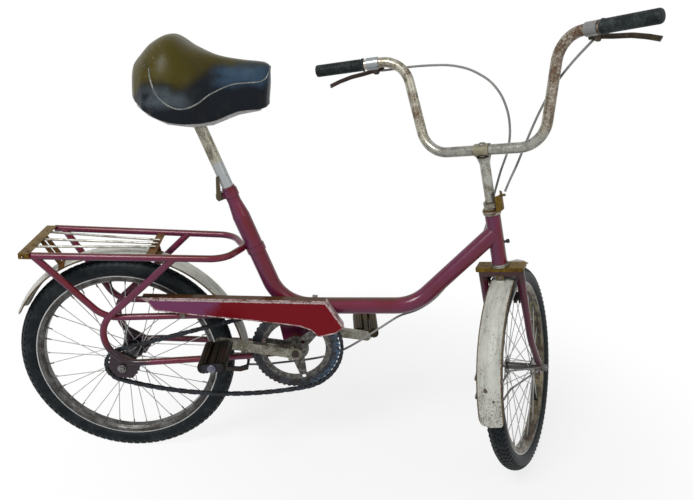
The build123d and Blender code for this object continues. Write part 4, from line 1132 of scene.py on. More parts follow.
@dataclass
class FenderSkin:
    """A pressed fender with raised ridges, rolled edges and cut corners. Sizes in millimetres.

    Args of its fields: start and stop are degrees round the wheel from straight ahead; cuts says
    how much of the width is left at either end.
    """

    axes: Axes
    body: Body
    node: str
    radius: float
    start: float
    stop: float
    cuts: tuple[float, float]
    tab: tuple[tuple[float, float], ...]
    half: float = 27.0
    crown: float = 9.0
    sheet: float = 1.0
    cut_length: float = 3.4

    def width_at(self, at: float) -> float:
        """The share of the width that is left at an angle in degrees.

        Args:
            at: the angle round the wheel.

        Returns:
            The share, 1 away from the ends.
        """
        share = 1.0
        for end, cut in ((self.start, self.cuts[0]), (self.stop, self.cuts[1])):
            near = abs(at - end)
            if near < self.cut_length:
                share = min(share, cut + (1.0 - cut) * sin(near / self.cut_length * pi / 2) ** 0.7)
        return share

    def ridge(self, y: float) -> float:
        """How far the pressed ridges stand off the plain crown."""
        far = abs(y)
        return 0.9 * exp(-(far / 2.6) ** 4) + 0.7 * exp(-((far - 14.5) / 1.7) ** 2)

    def on(self, at: float, y: float, out: float) -> Vector:
        """A point at an angle in degrees, across and out from the crown's plain arc."""
        reach = self.radius - self.crown * (y / self.half) ** 2 + out
        return self.axes.point(reach * cos(radians(at)), y, reach * sin(radians(at)))

    def build(self, enamel: bpy.types.Material) -> None:
        """Makes the fender in place of the plain one.

        Args:
            enamel: the fender's material.
        """
        count = int((self.stop - self.start) / 1.1)
        across = [self.half * (-1 + 2 * k / 48) for k in range(49)]
        rows = []
        for i in range(count + 1):
            at = self.start + (self.stop - self.start) * i / count
            wide = self.width_at(at)
            outer = [self.on(at, y * wide, self.ridge(y * wide)) for y in across]
            inner = [self.on(at, y * wide * 0.98, self.ridge(y * wide) - self.sheet) for y in reversed(across)]
            rows.append(outer + inner)
        shape = Shape().grid(rows, round_rows=True)
        for row in (rows[0], rows[-1]):
            half = len(row) // 2
            shape.grid([row[:half], row[half:][::-1]])
        for side in (-1, 1):
            line = []
            for i in range(count + 1):
                at = self.start + (self.stop - self.start) * i / count
                line.append(self.on(at, side * (self.half - 0.6) * self.width_at(at), -0.6))
            shape.tube(line, 1.7 * MILLIMETRE, 8)
        outline = [self.axes.point(x, -9.0, z) for x, z in self.tab]
        shape.prism(outline, self.axes.left * 18.0 * MILLIMETRE)
        thing = shape.piece(self.node + "_skin", self.body, enamel, "fender_paint", 50.0)
        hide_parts(self.node)


# ------------------------------------------------------------------ drive
@dataclass
class Chain:
    """The roller chain round the chainring and the sprocket. Sizes in millimetres."""

    ring_centre: tuple[float, float] = CRANK_CENTRE
    pitch: float = 12.7
    ring_teeth: int = 52
    sprocket_teeth: int = 20
    sag: float = 830.0
    y: float = -43.0
    plate_r: float = 4.1
    waist: float = 3.6
    outer_plate: tuple[float, float] = (3.5, 4.5)
    inner_plate: tuple[float, float] = (2.3, 3.3)
    roller: tuple[tuple[float, float], ...] = ((-2.2, 2.0), (-2.2, 3.9), (2.2, 3.9), (2.2, 2.0))
    pin: tuple[tuple[float, float], ...] = (
        (-5.1, 0.1), (-5.1, 1.3), (-4.8, 1.8), (4.8, 1.8), (5.1, 1.3), (5.1, 0.1))

    def pitch_radius(self, teeth: int) -> float:
        """The radius of the pins' circle on a toothed wheel."""
        return self.pitch / 2 / sin(pi / teeth)

    def line(self) -> list[Vector]:
        """The chain's centre line as close points in its plane, clockwise seen from the right.

        Returns:
            The points in millimetres.
        """
        small_r, big_r = self.pitch_radius(self.sprocket_teeth), self.pitch_radius(self.ring_teeth)
        small, big = Vector((0.0, 0.0)), Vector(self.ring_centre)
        gap = big.length
        heading = atan2(big.y, big.x)
        up = heading + pi / 2 + asin((big_r - small_r) / gap)
        reach_small, reach_big = self.sag - small_r, self.sag - big_r
        along = (reach_small ** 2 - reach_big ** 2 + gap ** 2) / (2 * gap)
        off = sqrt(reach_small ** 2 - along ** 2)
        middle = Vector((along * cos(heading) - off * sin(heading), along * sin(heading) + off * cos(heading)))
        low_small = (small - middle).normalized()
        low_big = (big - middle).normalized()

        def arc(centre: Vector, radius: float, start: float, stop: float) -> list[Vector]:
            """Points along an arc, without its last one.

            Args:
                centre: the arc's centre.
                radius: its radius.
                start: its first angle in radians.
                stop: its last angle in radians.

            Returns:
                The points, about 1.5 mm apart.
            """
            count = max(2, int(abs(stop - start) * radius / 1.5))
            return [centre + Vector((cos(start + (stop - start) * k / count), sin(start + (stop - start) * k / count)))
                    * radius for k in range(count)]

        a_big, a_small = atan2(low_big.y, low_big.x), atan2(low_small.y, low_small.x)
        top_start = small + Vector((cos(up), sin(up))) * small_r
        top_end = big + Vector((cos(up), sin(up))) * big_r
        points = [top_start.lerp(top_end, k / 260) for k in range(260)]
        points += arc(big, big_r, up, a_big)
        points += arc(middle, self.sag, a_big, a_small)
        points += arc(small, small_r, a_small, up - 2 * pi)
        return points

    def pins(self) -> list[Vector]:
        """The pins' places, evenly spaced along the line.

        Returns:
            The places in millimetres.
        """
        line = self.line()
        ends = line[1:] + line[:1]
        lengths = [(b - a).length for a, b in zip(line, ends)]
        total = sum(lengths)
        count = 2 * round(total / self.pitch / 2)
        found, walked, k = [], 0.0, 0
        for i in range(count):
            goal = total * i / count
            while walked + lengths[k] < goal:
                walked += lengths[k]
                k += 1
            found.append(line[k].lerp(ends[k], (goal - walked) / lengths[k]))
        return found

    def build(self, finish: bpy.types.Material) -> None:
        """Makes the links, rollers and pins.

        Args:
            finish: the pieces' material.
        """
        shape = Shape()
        pins = self.pins()
        for i, a in enumerate(pins):
            b = pins[(i + 1) % len(pins)]
            along = (b - a).normalized()
            out = Vector((-along.y, along.x))
            outline = []
            for centre, start in ((b, -75), (a, 105)):
                for k in range(6):
                    turn = radians(start + 30 * k)
                    outline.append(centre + (along * cos(turn) + out * sin(turn)) * self.plate_r)
                outline.append((a + b) * 0.5 + out * (self.waist if centre is b else -self.waist))
            low, high = self.outer_plate if i % 2 == 0 else self.inner_plate
            for side in (-1, 1):
                face = [place((p.x, self.y + side * low, p.y)) for p in outline]
                if side > 0:
                    face.reverse()
                shape.prism(face, Vector((0, side * (high - low), 0)) * MILLIMETRE)
            middle = place((a.x, self.y, a.y))
            across = Vector((0, 1, 0))
            shape.lathe(middle, across, self.roller, 10)
            shape.lathe(middle, across, self.pin, 8)
        links = shape.piece("chain_links", Body.FRAME, finish, "greasy_steel", 30.0)
        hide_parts("chain")


@dataclass
class RingTeeth:
    """A shallow toothed rim that stays inside the chain's rollers at every crank angle. Sizes in millimetres."""

    chain: Chain
    inner: float = 94.0
    half_thickness: float = 1.0
    tooth: tuple[tuple[float, float], ...] = ((-0.36, 98.6), (-0.14, 100.9), (0.14, 100.9), (0.36, 98.6))

    def build(self, finish: bpy.types.Material) -> None:
        """Makes the toothed rim on the chainring's edge.

        Args:
            finish: the pieces' material.
        """
        step = 2 * pi / self.chain.ring_teeth
        centre = Vector((self.chain.ring_centre[0], self.chain.y, self.chain.ring_centre[1]))
        deep = Vector((0, self.half_thickness, 0))
        rows = []
        for i in range(self.chain.ring_teeth):
            for share, reach in self.tooth:
                turn = (i + share) * step
                way = Vector((cos(turn), 0, sin(turn)))
                rows.append([place(centre + way * self.inner - deep), place(centre + way * reach - deep),
                             place(centre + way * reach + deep), place(centre + way * self.inner + deep)])
        Shape().grid(rows, round_rows=True, round_columns=True).piece(
            "ring_teeth", Body.CRANKSET, finish, "greasy_steel", 30.0)


@dataclass
class GuardTrim:
    """Rolled and chipped edges on the chain guard. Sizes in millimetres."""

    face_y: float = -51.5
    edge_r: float = 1.5
    top: tuple[tuple[float, float], ...] = ((49.0, 175.5), (452.5, 185.5), (496.0, 125.5))
    bottom: tuple[tuple[float, float], ...] = (
        (49.0, 175.5), (62.0, 168.5), (78.0, 147.5), (176.0, 139.0), (264.0, 134.0), (353.0, 127.5),
        (397.5, 123.0), (422.5, 114.5), (439.0, 100.0), (448.0, 100.0), (479.0, 109.5), (496.0, 125.5))

    def build(self, edge: bpy.types.Material) -> None:
        """Makes the trim.

        Args:
            edge: the trim's material.
        """
        shape = Shape()
        for line in (self.top, self.bottom):
            points = [place((x, self.face_y - 0.2, z)) for x, z in line]
            close = []
            for a, b in zip(points, points[1:]):
                close += [a.lerp(b, k / 8) for k in range(8)]
            shape.tube(close + [points[-1]], self.edge_r * MILLIMETRE, 8)
        shape.piece("guard_edges", Body.FRAME, edge, "frame_paint", 60.0)


# ------------------------------------------------------------------ steering
@dataclass
class Grip:
    """A ribbed grip with a collar and a domed end. Sizes in millimetres."""

    side: Side
    end: tuple[float, float, float] = GRIP_END
    corner: tuple[float, float, float] = BAR_CORNER
    length: float = 112.0
    radius: float = 13.4
    ribs: int = 26

    def build(self, finish: bpy.types.Material) -> None:
        """Makes the grip in place of the plain one.

        Args:
            finish: the pieces' material.
        """
        name = "grip_left" if self.side is Side.LEFT else "grip_right"
        tip = BAR.point(self.end[0], self.side.value * self.end[1], self.end[2])
        inner = BAR.point(self.corner[0], self.side.value * self.corner[1], self.corner[2])
        way = (tip - inner).normalized()
        start = tip - way * (self.length - 5.0) * MILLIMETRE
        profile = [(0.0, 11.3), (0.0, 13.8), (1.0, 14.6), (3.2, 14.6), (4.2, 13.9), (6.0, self.radius - 0.6)]
        first, last = 8.0, self.length - 12.0
        step = (last - first) / self.ribs
        for i in range(self.ribs):
            low = first + step * i
            profile += [(low, self.radius - 0.9), (low + step * 0.2, self.radius), (low + step * 0.7, self.radius),
                        (low + step * 0.9, self.radius - 0.9)]
        profile += [(last + 1.0, self.radius), (self.length - 5.0, self.radius), (self.length - 2.0, self.radius - 1.4),
                    (self.length - 0.5, self.radius - 4.5), (self.length, self.radius - 9.0), (self.length, 0.1)]
        thing = Shape().lathe(start, way, profile, 28).piece(
            name + "_ribbed", Body.STEERING, finish, "grip_rubber", 28.0)
        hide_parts(name)


@dataclass
class CableSleeve:
    """A brake cable's sleeve, joined from the CAD cable pieces."""

    name: str
    nodes: tuple[str, ...]
    start: Vector
    end: Vector

    def build(self, finish: bpy.types.Material) -> None:
        """Makes one piece from the cable's whole course.

        Args:
            finish: the pieces' material.
        """
        vertices: list[Vector] = []
        faces: list[tuple[int, ...]] = []
        for node in self.nodes:
            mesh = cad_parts[node].data
            base = len(vertices)
            vertices += [v.co.copy() for v in mesh.vertices]
            faces += [tuple(base + k for k in p.vertices) for p in mesh.polygons]
        mesh = bpy.data.meshes.new(self.name)
        mesh.from_pydata([tuple(v) for v in vertices], [], faces)
        mesh.validate()
        mesh.shade_smooth()
        mesh.set_sharp_from_angle(angle=radians(60))
        mesh.materials.append(finish)
        sleeve = bpy.data.objects.new(self.name, mesh)
        bpy.context.scene.collection.objects.link(sleeve)
        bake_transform(sleeve)
        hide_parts(*self.nodes)


# ------------------------------------------------------------------ small fittings
@dataclass
class PedalCap:
    """A pedal's end plate and the dust cap over its axle, both clear of the axle. Sizes in millimetres."""

    side: Side
    centre: tuple[float, float]
    tilt: float
    face: float = 172.0
    length: float = 46.0
    height: float = 19.0
    sheet: float = 1.2
    hole: float = 6.6
    squareness: float = 7.0
    steps: int = 48

    def build(self, steel: bpy.types.Material, dark: bpy.types.Material) -> None:
        """Makes the plate and the dust cap.

        Args:
            steel: the dust cap's material.
            dark: the plate's material.
        """
        out = Vector((0, self.side.value, 0))
        turn = radians(self.tilt)
        u = Vector((cos(turn), 0, sin(turn)))
        v = Vector((-sin(turn), 0, cos(turn)))
        middle = Vector((self.centre[0], self.side.value * self.face, self.centre[1]))
        deep = out * self.sheet
        rows = []
        for k in range(self.steps):
            a = 2 * pi * k / self.steps
            wide = abs(cos(a)) / (self.length / 2)
            high = abs(sin(a)) / (self.height / 2)
            reach = (wide ** self.squareness + high ** self.squareness) ** (-1 / self.squareness)
            way = u * cos(a) + v * sin(a)
            edge, ring = middle + way * reach, middle + way * self.hole
            rows.append([place(edge), place(edge + deep), place(ring + deep), place(ring)])
        if self.side is Side.LEFT:
            rows.reverse()
        body = Body.RIGHT_PEDAL if self.side is Side.RIGHT else Body.LEFT_PEDAL
        name = body.value
        Shape().grid(rows, round_rows=True, round_columns=True).piece(
            name + "_end_plate", body, dark, "pedal_rubber")
        cap = Shape().lathe(place(middle + deep), out, [
            (0.0, self.hole), (0.0, 8.8), (3.4, 8.8), (4.2, 8.0), (4.2, 6.0), (3.6, 5.2), (3.6, 0.1), (3.1, 0.1),
            (3.1, self.hole)], 28, closed=True)
        cap.piece(name + "_dust_cap", body, steel, "wire_steel")


@dataclass
class Fasteners:
    """Bolt heads, washers and knurled rings all over the bicycle. Sizes in millimetres."""

    steel: bpy.types.Material

    def headset(self) -> None:
        """A knurled ring and thin washers in the headset."""
        shape = Shape()
        up = HEAD.up
        shape.lathe(HEAD.point(0, 0, 419.0), up, [(5.4, 17.0), (5.4, 20.2), (6.2, 20.8), (8.0, 20.8), (8.8, 20.2),
                                                  (8.8, 17.0)], 40, closed=True)
        shape.lathe(HEAD.point(0, 0, 293.0), up, [(0.0, 17.0), (0.0, 19.6), (1.6, 20.0), (3.0, 19.6), (3.0, 17.0)],
                    40, closed=True)
        shape.piece("headset_rings", Body.FRAME, self.steel, "worn_chrome")

    def steering_bolts(self) -> None:
        """The wedge bolt in the stem, the clamp's nut and the fender's bolt in the crown."""
        shape = Shape()
        shape.dome(BAR.point(-1.2, 0, 563.2 + 12.6), BAR.up, 9.0, 4.2)
        shape.nut(BAR.point(20.5, 0, 546.2), BAR.forward, 9.0, 4.0, 6.5)
        shape.dome(FORK.point(-14.8, 0, 266.0), -FORK.forward, 4.2, 2.4)
        shape.piece("steering_bolts", Body.STEERING, self.steel, "wire_steel")

    def axles(self) -> None:
        """Washers on the rear axle."""
        shape = Shape()
        for side in (-1, 1):
            out = Vector((0, side, 0))
            shape.lathe(place((0, side * 60.2, 0)), out, [(0.0, 5.6), (0.0, 9.6), (1.2, 9.6), (1.2, 5.6)], 24,
                        closed=True)
        shape.piece("axle_washers", Body.FRAME, self.steel, "wire_steel")

    def build(self) -> None:
        """Makes every group."""
        self.headset()
        self.steering_bolts()
        self.axles()


# ------------------------------------------------------------------ studio
@dataclass
class Viewpoint:
    """Where the camera stands, in metres in the part's own frame."""

    eye: tuple[float, float, float] = (0.2623, -1.3578, 0.1103)
    target: tuple[float, float, float] = (0.32785, 0.0, -0.41749)
    roll: float = 3.74
    lens: float = 34.095
    sensor: float = 36.0

    def build(self) -> None:
        """Creates the camera and makes it the scene's own."""
        data = bpy.data.cameras.new("camera")
        data.lens = self.lens
        data.sensor_width = self.sensor
        camera = bpy.data.objects.new("camera", data)
        bpy.context.scene.collection.objects.link(camera)
        forward = (Vector(self.target) - Vector(self.eye)).normalized()
        aim = forward.to_track_quat("-Z", "Y").to_matrix().to_4x4()
        camera.matrix_world = Matrix.Translation(self.eye) @ aim @ Matrix.Rotation(radians(self.roll), 4, "Z")
        bpy.context.scene.camera = camera


@dataclass
class Studio:
    """White surroundings, a floor under the tyres and soft lamps."""

    floor_z: float
    sky: float = 0.31
    key: float = 50.0
    fill: float = 6.0

    def lamp(self, name: str, spot: Vector, size: float, power: float) -> None:
        """Adds a square lamp that looks at the bicycle's middle.

        Args:
            name: the lamp's name.
            spot: where it hangs, in metres.
            size: the length of its side in metres.
            power: its power in watts.
        """
        data = bpy.data.lights.new(name, "AREA")
        data.size = size
        data.energy = power
        thing = bpy.data.objects.new(name, data)
        bpy.context.scene.collection.objects.link(thing)
        thing.location = spot
        middle = Vector((0.3, 0.0, -0.45))
        thing.rotation_euler = (middle - spot).to_track_quat("-Z", "Y").to_euler()

    @staticmethod
    def seen_directly(tree: bpy.types.NodeTree) -> Socket:
        """A share of 1 for rays from the camera, and through glass or off metal.

        Args:
            tree: the node tree that gets the nodes.

        Returns:
            The share.
        """
        path = tree.nodes.new("ShaderNodeLightPath")
        share = path.outputs["Is Camera Ray"]
        for name in ("Is Glossy Ray", "Is Transmission Ray"):
            most = tree.nodes.new("ShaderNodeMath")
            most.operation = "MAXIMUM"
            tree.links.new(share, most.inputs[0])
            tree.links.new(path.outputs[name], most.inputs[1])
            share = most.outputs[0]
        return share

    def paper(self) -> bpy.types.Material:
        """White paper that keeps a soft shadow near the tyres and is plain white far away.

        Returns:
            The floor's material.
        """
        g = Graph("paper")
        tree = g.tree
        g.done((0.9, 0.9, 0.9), 0.9, specular=0.1)
        x, y = g.along(Vector((0.25, 0, 0)), Vector((1, 0, 0))), g.along(Vector((0, 0.1, 0)), Vector((0, 1, 0)))
        far = g.math("SQRT", g.math("ADD", g.math("MULTIPLY", x, x), g.math("MULTIPLY", y, y)))
        share = g.math("MULTIPLY", g.math("ADD", g.math("MULTIPLY", g.step(far, 0.3, 1.0), 0.2), 0.8),
                       self.seen_directly(tree))
        glow = tree.nodes.new("ShaderNodeEmission")
        mixed = tree.nodes.new("ShaderNodeMixShader")
        g.put(mixed.inputs[0], share)
        tree.links.new(g.shader.outputs[0], mixed.inputs[1])
        tree.links.new(glow.outputs[0], mixed.inputs[2])
        tree.links.new(mixed.outputs[0], tree.nodes["Material Output"].inputs["Surface"])
        return g.material

    def build(self) -> None:
        """Makes the floor, the world and the lamps."""
        bpy.ops.mesh.primitive_plane_add(size=14, location=(0.3, 0, self.floor_z - 0.0005))
        floor = bpy.context.object
        floor.name = "floor"
        floor.data.materials.append(self.paper())
        floor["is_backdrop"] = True
        world = bpy.data.worlds.new("world")
        bpy.context.scene.world = world
        world.use_nodes = True
        tree = world.node_tree
        back = tree.nodes["Background"]
        back.inputs["Color"].default_value = (0.96, 0.98, 1.0, 1)
        back.inputs["Strength"].default_value = self.sky
        seen = tree.nodes.new("ShaderNodeBackground")
        seen.inputs["Color"].default_value = (1, 1, 1, 1)
        choice = tree.nodes.new("ShaderNodeMixShader")
        tree.links.new(self.seen_directly(tree), choice.inputs[0])
        tree.links.new(back.outputs[0], choice.inputs[1])
        tree.links.new(seen.outputs[0], choice.inputs[2])
        tree.links.new(choice.outputs[0], tree.nodes["World Output"].inputs["Surface"])
        self.lamp("key", Vector((-0.9, -1.6, 1.5)), 0.9, self.key)
        self.lamp("fill", Vector((1.9, -1.5, 0.8)), 1.2, self.fill)
        bpy.context.scene.view_settings.view_transform = "Standard"


# ------------------------------------------------------------------ CAD nodes
def guard_tint(g: Graph, colour: Socket) -> Socket:
    """Purple at the guard's rear, crimson in front, brown along its top flange, chipped along its edge.

    Args:
        g: the material's graph.
        colour: the colour so far.

    Returns:
        The changed colour.
    """
    ahead = g.math("ADD", g.along(place((210, 0, 160)), Vector((0.86, 0, -0.5))),
                   g.math("MULTIPLY", g.noise(28.0, 4.0, 0.7), 0.05))
    ahead = g.step(ahead, 0.008, 0.04)
    band = g.math("MULTIPLY", g.step(g.along(place((395, 0, 0)), Vector((0.8, 0, 0.6))), -0.035, 0.0), 0.35)
    colour = g.blend(ahead, (0.165, 0.042, 0.108), g.blend(band, (0.165, 0.004, 0.010), (0.20, 0.006, 0.012)))
    drop = g.along(place((250, 0, 180.5)), Vector((-0.0248, 0, 1)))
    edge = g.math("ADD", g.step(drop, -0.0115, -0.0045), g.math("MULTIPLY", g.noise(170.0, 6.0, 0.75), 0.9))
    slope = g.step(g.along(place((474.2, 0, 155.5)), Vector((0.809, 0, 0.587))), -0.0085, -0.004)
    edge = g.math("MAXIMUM", edge, g.math("ADD", slope, g.math("MULTIPLY", g.noise(110.0, 6.0, 0.78), 0.9)))
    bright = g.blend(g.step(g.noise(240.0, 5.0, 0.75, shift=9.0), 0.54, 0.6), (0.52, 0.40, 0.39), (0.03, 0.015, 0.012))
    colour = g.blend(g.step(edge, 1.24, 1.33), colour, bright)
    top = g.step(g.facing(Vector((0, 0, 1))), 0.6, 0.9)
    return g.blend(top, colour, (0.075, 0.035, 0.014))


def drop_tint(g: Graph, colour: Socket) -> Socket:
    """Darker purple round the rear axle."""
    return g.blend(g.step(g.radius(MAIN), 0.085, 0.045), colour, (0.022, 0.010, 0.018))


def clamp_tint(g: Graph, colour: Socket) -> Socket:
    """The seat clamp's collar is lacquered; its bolt and lever are brown plated steel.

    Args:
        g: the material's graph.
        colour: the colour so far.

    Returns:
        The changed colour.
    """
    lean = radians(SEAT_LEAN)
    back = Vector((-cos(lean), 0, -sin(lean)))
    behind = g.step(g.along(place(SEAT_SLEEVE_TOP), back), 0.0168, 0.0172)
    above = g.step(g.along(place((236.9, 0, 409.9)), Vector((-sin(lean), 0, cos(lean)))), 0.0082, 0.0086)
    return g.blend(g.math("MAXIMUM", behind, above), colour, (0.06, 0.045, 0.018))


def post_tint(g: Graph, colour: Socket) -> Socket:
    """Bright clean metal where the seat post has stood inside its sleeve.

    Args:
        g: the material's graph.
        colour: the colour so far.

    Returns:
        The changed colour.
    """
    lean = radians(SEAT_LEAN)
    up = g.along(place(SEAT_SLEEVE_TOP), Vector((-sin(lean), 0, cos(lean))))
    return g.blend(g.step(up, 0.062, 0.052), colour, (0.36, 0.38, 0.38))


def stem_tint(g: Graph, colour: Socket) -> Socket:
    """A dark split line under the lug that holds the handlebar, and yellowish plating above it.

    Args:
        g: the material's graph.
        colour: the colour so far.

    Returns:
        The changed colour.
    """
    up = g.along(BAR.point(0, 0, 549.5), BAR.up)
    colour = g.blend(g.math("MULTIPLY", g.step(up, 0.0015, 0.004), 0.7), colour, (0.20, 0.175, 0.095))
    gap = g.math("MULTIPLY", g.step(up, -0.0012, -0.0004), g.step(up, 0.0016, 0.0008))
    return g.blend(gap, colour, (0.008, 0.007, 0.006))


def bar_tint(g: Graph, colour: Socket) -> Socket:
    """Redder rust up the right riser and a bluish-grey tone low on the bar, by the stem.

    Args:
        g: the material's graph.
        colour: the colour so far.

    Returns:
        The changed colour.
    """
    right = g.step(g.along(BAR.point(0, -100, 600), BAR.way(0, -1, 0)), 0.0, 0.09)
    red = g.math("MULTIPLY", right, g.step(g.noise(190.0, 6.0, 0.76, shift=12.0), 0.42, 0.56))
    colour = g.blend(g.math("MULTIPLY", red, 0.85), colour, (0.09, 0.035, 0.018))
    base = g.step(g.along(BAR.point(0, 0, 590), BAR.up), 0.012, -0.012)
    return g.blend(g.math("MULTIPLY", base, 0.4), colour, (0.19, 0.215, 0.225))


def fork_tint(g: Graph, colour: Socket) -> Socket:
    """The fork is darker than the frame, with an orange-brown stripe down its front edge.

    Args:
        g: the material's graph.
        colour: the colour so far.

    Returns:
        The changed colour.
    """
    colour = g.blend(0.55, colour, (0.034, 0.012, 0.012))
    crown = g.along(FORK.point(0, 0, 262), FORK.up)
    crown = g.math("MULTIPLY", g.step(crown, -0.02, 0.0), g.step(crown, 0.045, 0.035))
    colour = g.blend(g.math("MULTIPLY", crown, 0.6), colour, (0.03, 0.014, 0.010))
    front = g.step(g.facing(FORK.forward), 0.35, 0.8)
    colour = g.blend(g.math("MULTIPLY", front, g.step(g.noise(60.0, 5.0), 0.3, 0.5)), colour, (0.12, 0.05, 0.015))
    return g.blend(g.step(g.along(FORK.point(0, 0, 380), FORK.up), 0.0, 0.002), colour, (0.12, 0.105, 0.07))


def head_highlight_tint(g: Graph, colour: Socket) -> Socket:
    """A painted highlight: a brown strip down the front of the head tube, on the faces turned forward."""
    front = g.step(g.facing(HEAD.forward), 0.62, 0.86)
    return g.blend(front, colour, (0.12, 0.06, 0.025))


def ring_tint(g: Graph, colour: Socket) -> Socket:
    """Blue glints on the front half of the chainring and a speckled grey spider.

    Args:
        g: the material's graph.
        colour: the colour so far.

    Returns:
        The changed colour.
    """
    ring = Axes(Vector((CRANK_CENTRE[0], 0, CRANK_CENTRE[1])), MAIN.forward, MAIN.left, MAIN.up)
    out = g.radius(ring)
    front = g.step(g.along(place(ring.origin), Vector((0.9, 0, -0.2))), 0.035, 0.075)
    glint = g.math("MULTIPLY", g.step(out, 0.084, 0.094), g.step(g.noise(260.0, 4.0, 0.7), 0.48, 0.62))
    colour = g.blend(g.math("MULTIPLY", g.math("MULTIPLY", glint, front), 0.9), colour, (0.07, 0.17, 0.30))
    specks = g.step(g.noise(130.0, 6.0, 0.78, shift=2.0), 0.42, 0.62)
    spotted = g.blend(specks, (0.04, 0.036, 0.032), (0.16, 0.155, 0.145))
    return g.blend(g.step(out, 0.083, 0.078), colour, spotted)


def hub_tint(axes: Axes, hub: Colour) -> Callable[[Graph, Socket], Socket]:
    """A dark hub with silver spokes round it.

    Args:
        axes: the wheel's axes.
        hub: the hub's colour.

    Returns:
        A tint that a finish takes as its extra.
    """
    def tint(g: Graph, colour: Socket) -> Socket:
        """Tells the hub from its spokes by the distance from the axle."""
        return g.blend(g.step(g.radius(axes), 0.0262, 0.0268), hub, (0.42, 0.42, 0.41))
    return tint


def bar_axes(side: Side) -> Axes:
    """Axes whose left runs along the handlebar's straight end, for distances from the bar.

    Args:
        side: the side of the bar.

    Returns:
        The axes, with their origin at the grip's end.
    """
    tip = BAR.local(GRIP_END[0], side.value * GRIP_END[1], GRIP_END[2])
    inner = BAR.local(BAR_CORNER[0], side.value * BAR_CORNER[1], BAR_CORNER[2])
    along = (tip - inner).normalized()
    u = along.orthogonal().normalized()
    return Axes(tip, u, along, along.cross(u))


def lever_tint(side: Side, band: Colour) -> Callable[[Graph, Socket], Socket]:
    """A bright clamp band round the bar on a darker lever.

    Args:
        side: the lever's side.
        band: the clamp band's colour.

    Returns:
        A tint that a finish takes as its extra.
    """
    def tint(g: Graph, colour: Socket) -> Socket:
        """Tells the clamp band by the distance from the bar."""
        return g.blend(g.step(g.radius(bar_axes(side)), 0.0148, 0.0142), colour, band)
    return tint


def rim_tint(axes: Axes) -> Callable[[Graph, Socket], Socket]:
    """Bright lips on a rim whose well is stained along its length; the lips' light grey is partly plating and partly a
    painted highlight line.

    Args:
        axes: the wheel's axes.

    Returns:
        A tint that a finish takes as its extra.
    """
    def tint(g: Graph, colour: Socket) -> Socket:
        """Stains the well and brightens the lips.

        Args:
            g: the material's graph.
            colour: the colour so far.

        Returns:
            The changed colour.
        """
        out = g.radius(axes)
        streak = g.noise(90.0, 5.0, 0.7, stretch=(1.0, 0.25, 1.0), where=g.wheel_place(axes, 200.0))
        colour = g.blend(g.step(streak, 0.42, 0.62), colour, (0.036, 0.033, 0.029))
        # The outer lips' light grey: lighter plating with a painted highlight line on it.
        return g.blend(g.step(out, 0.2055, 0.2068), colour, (0.5, 0.5, 0.5))
    return tint


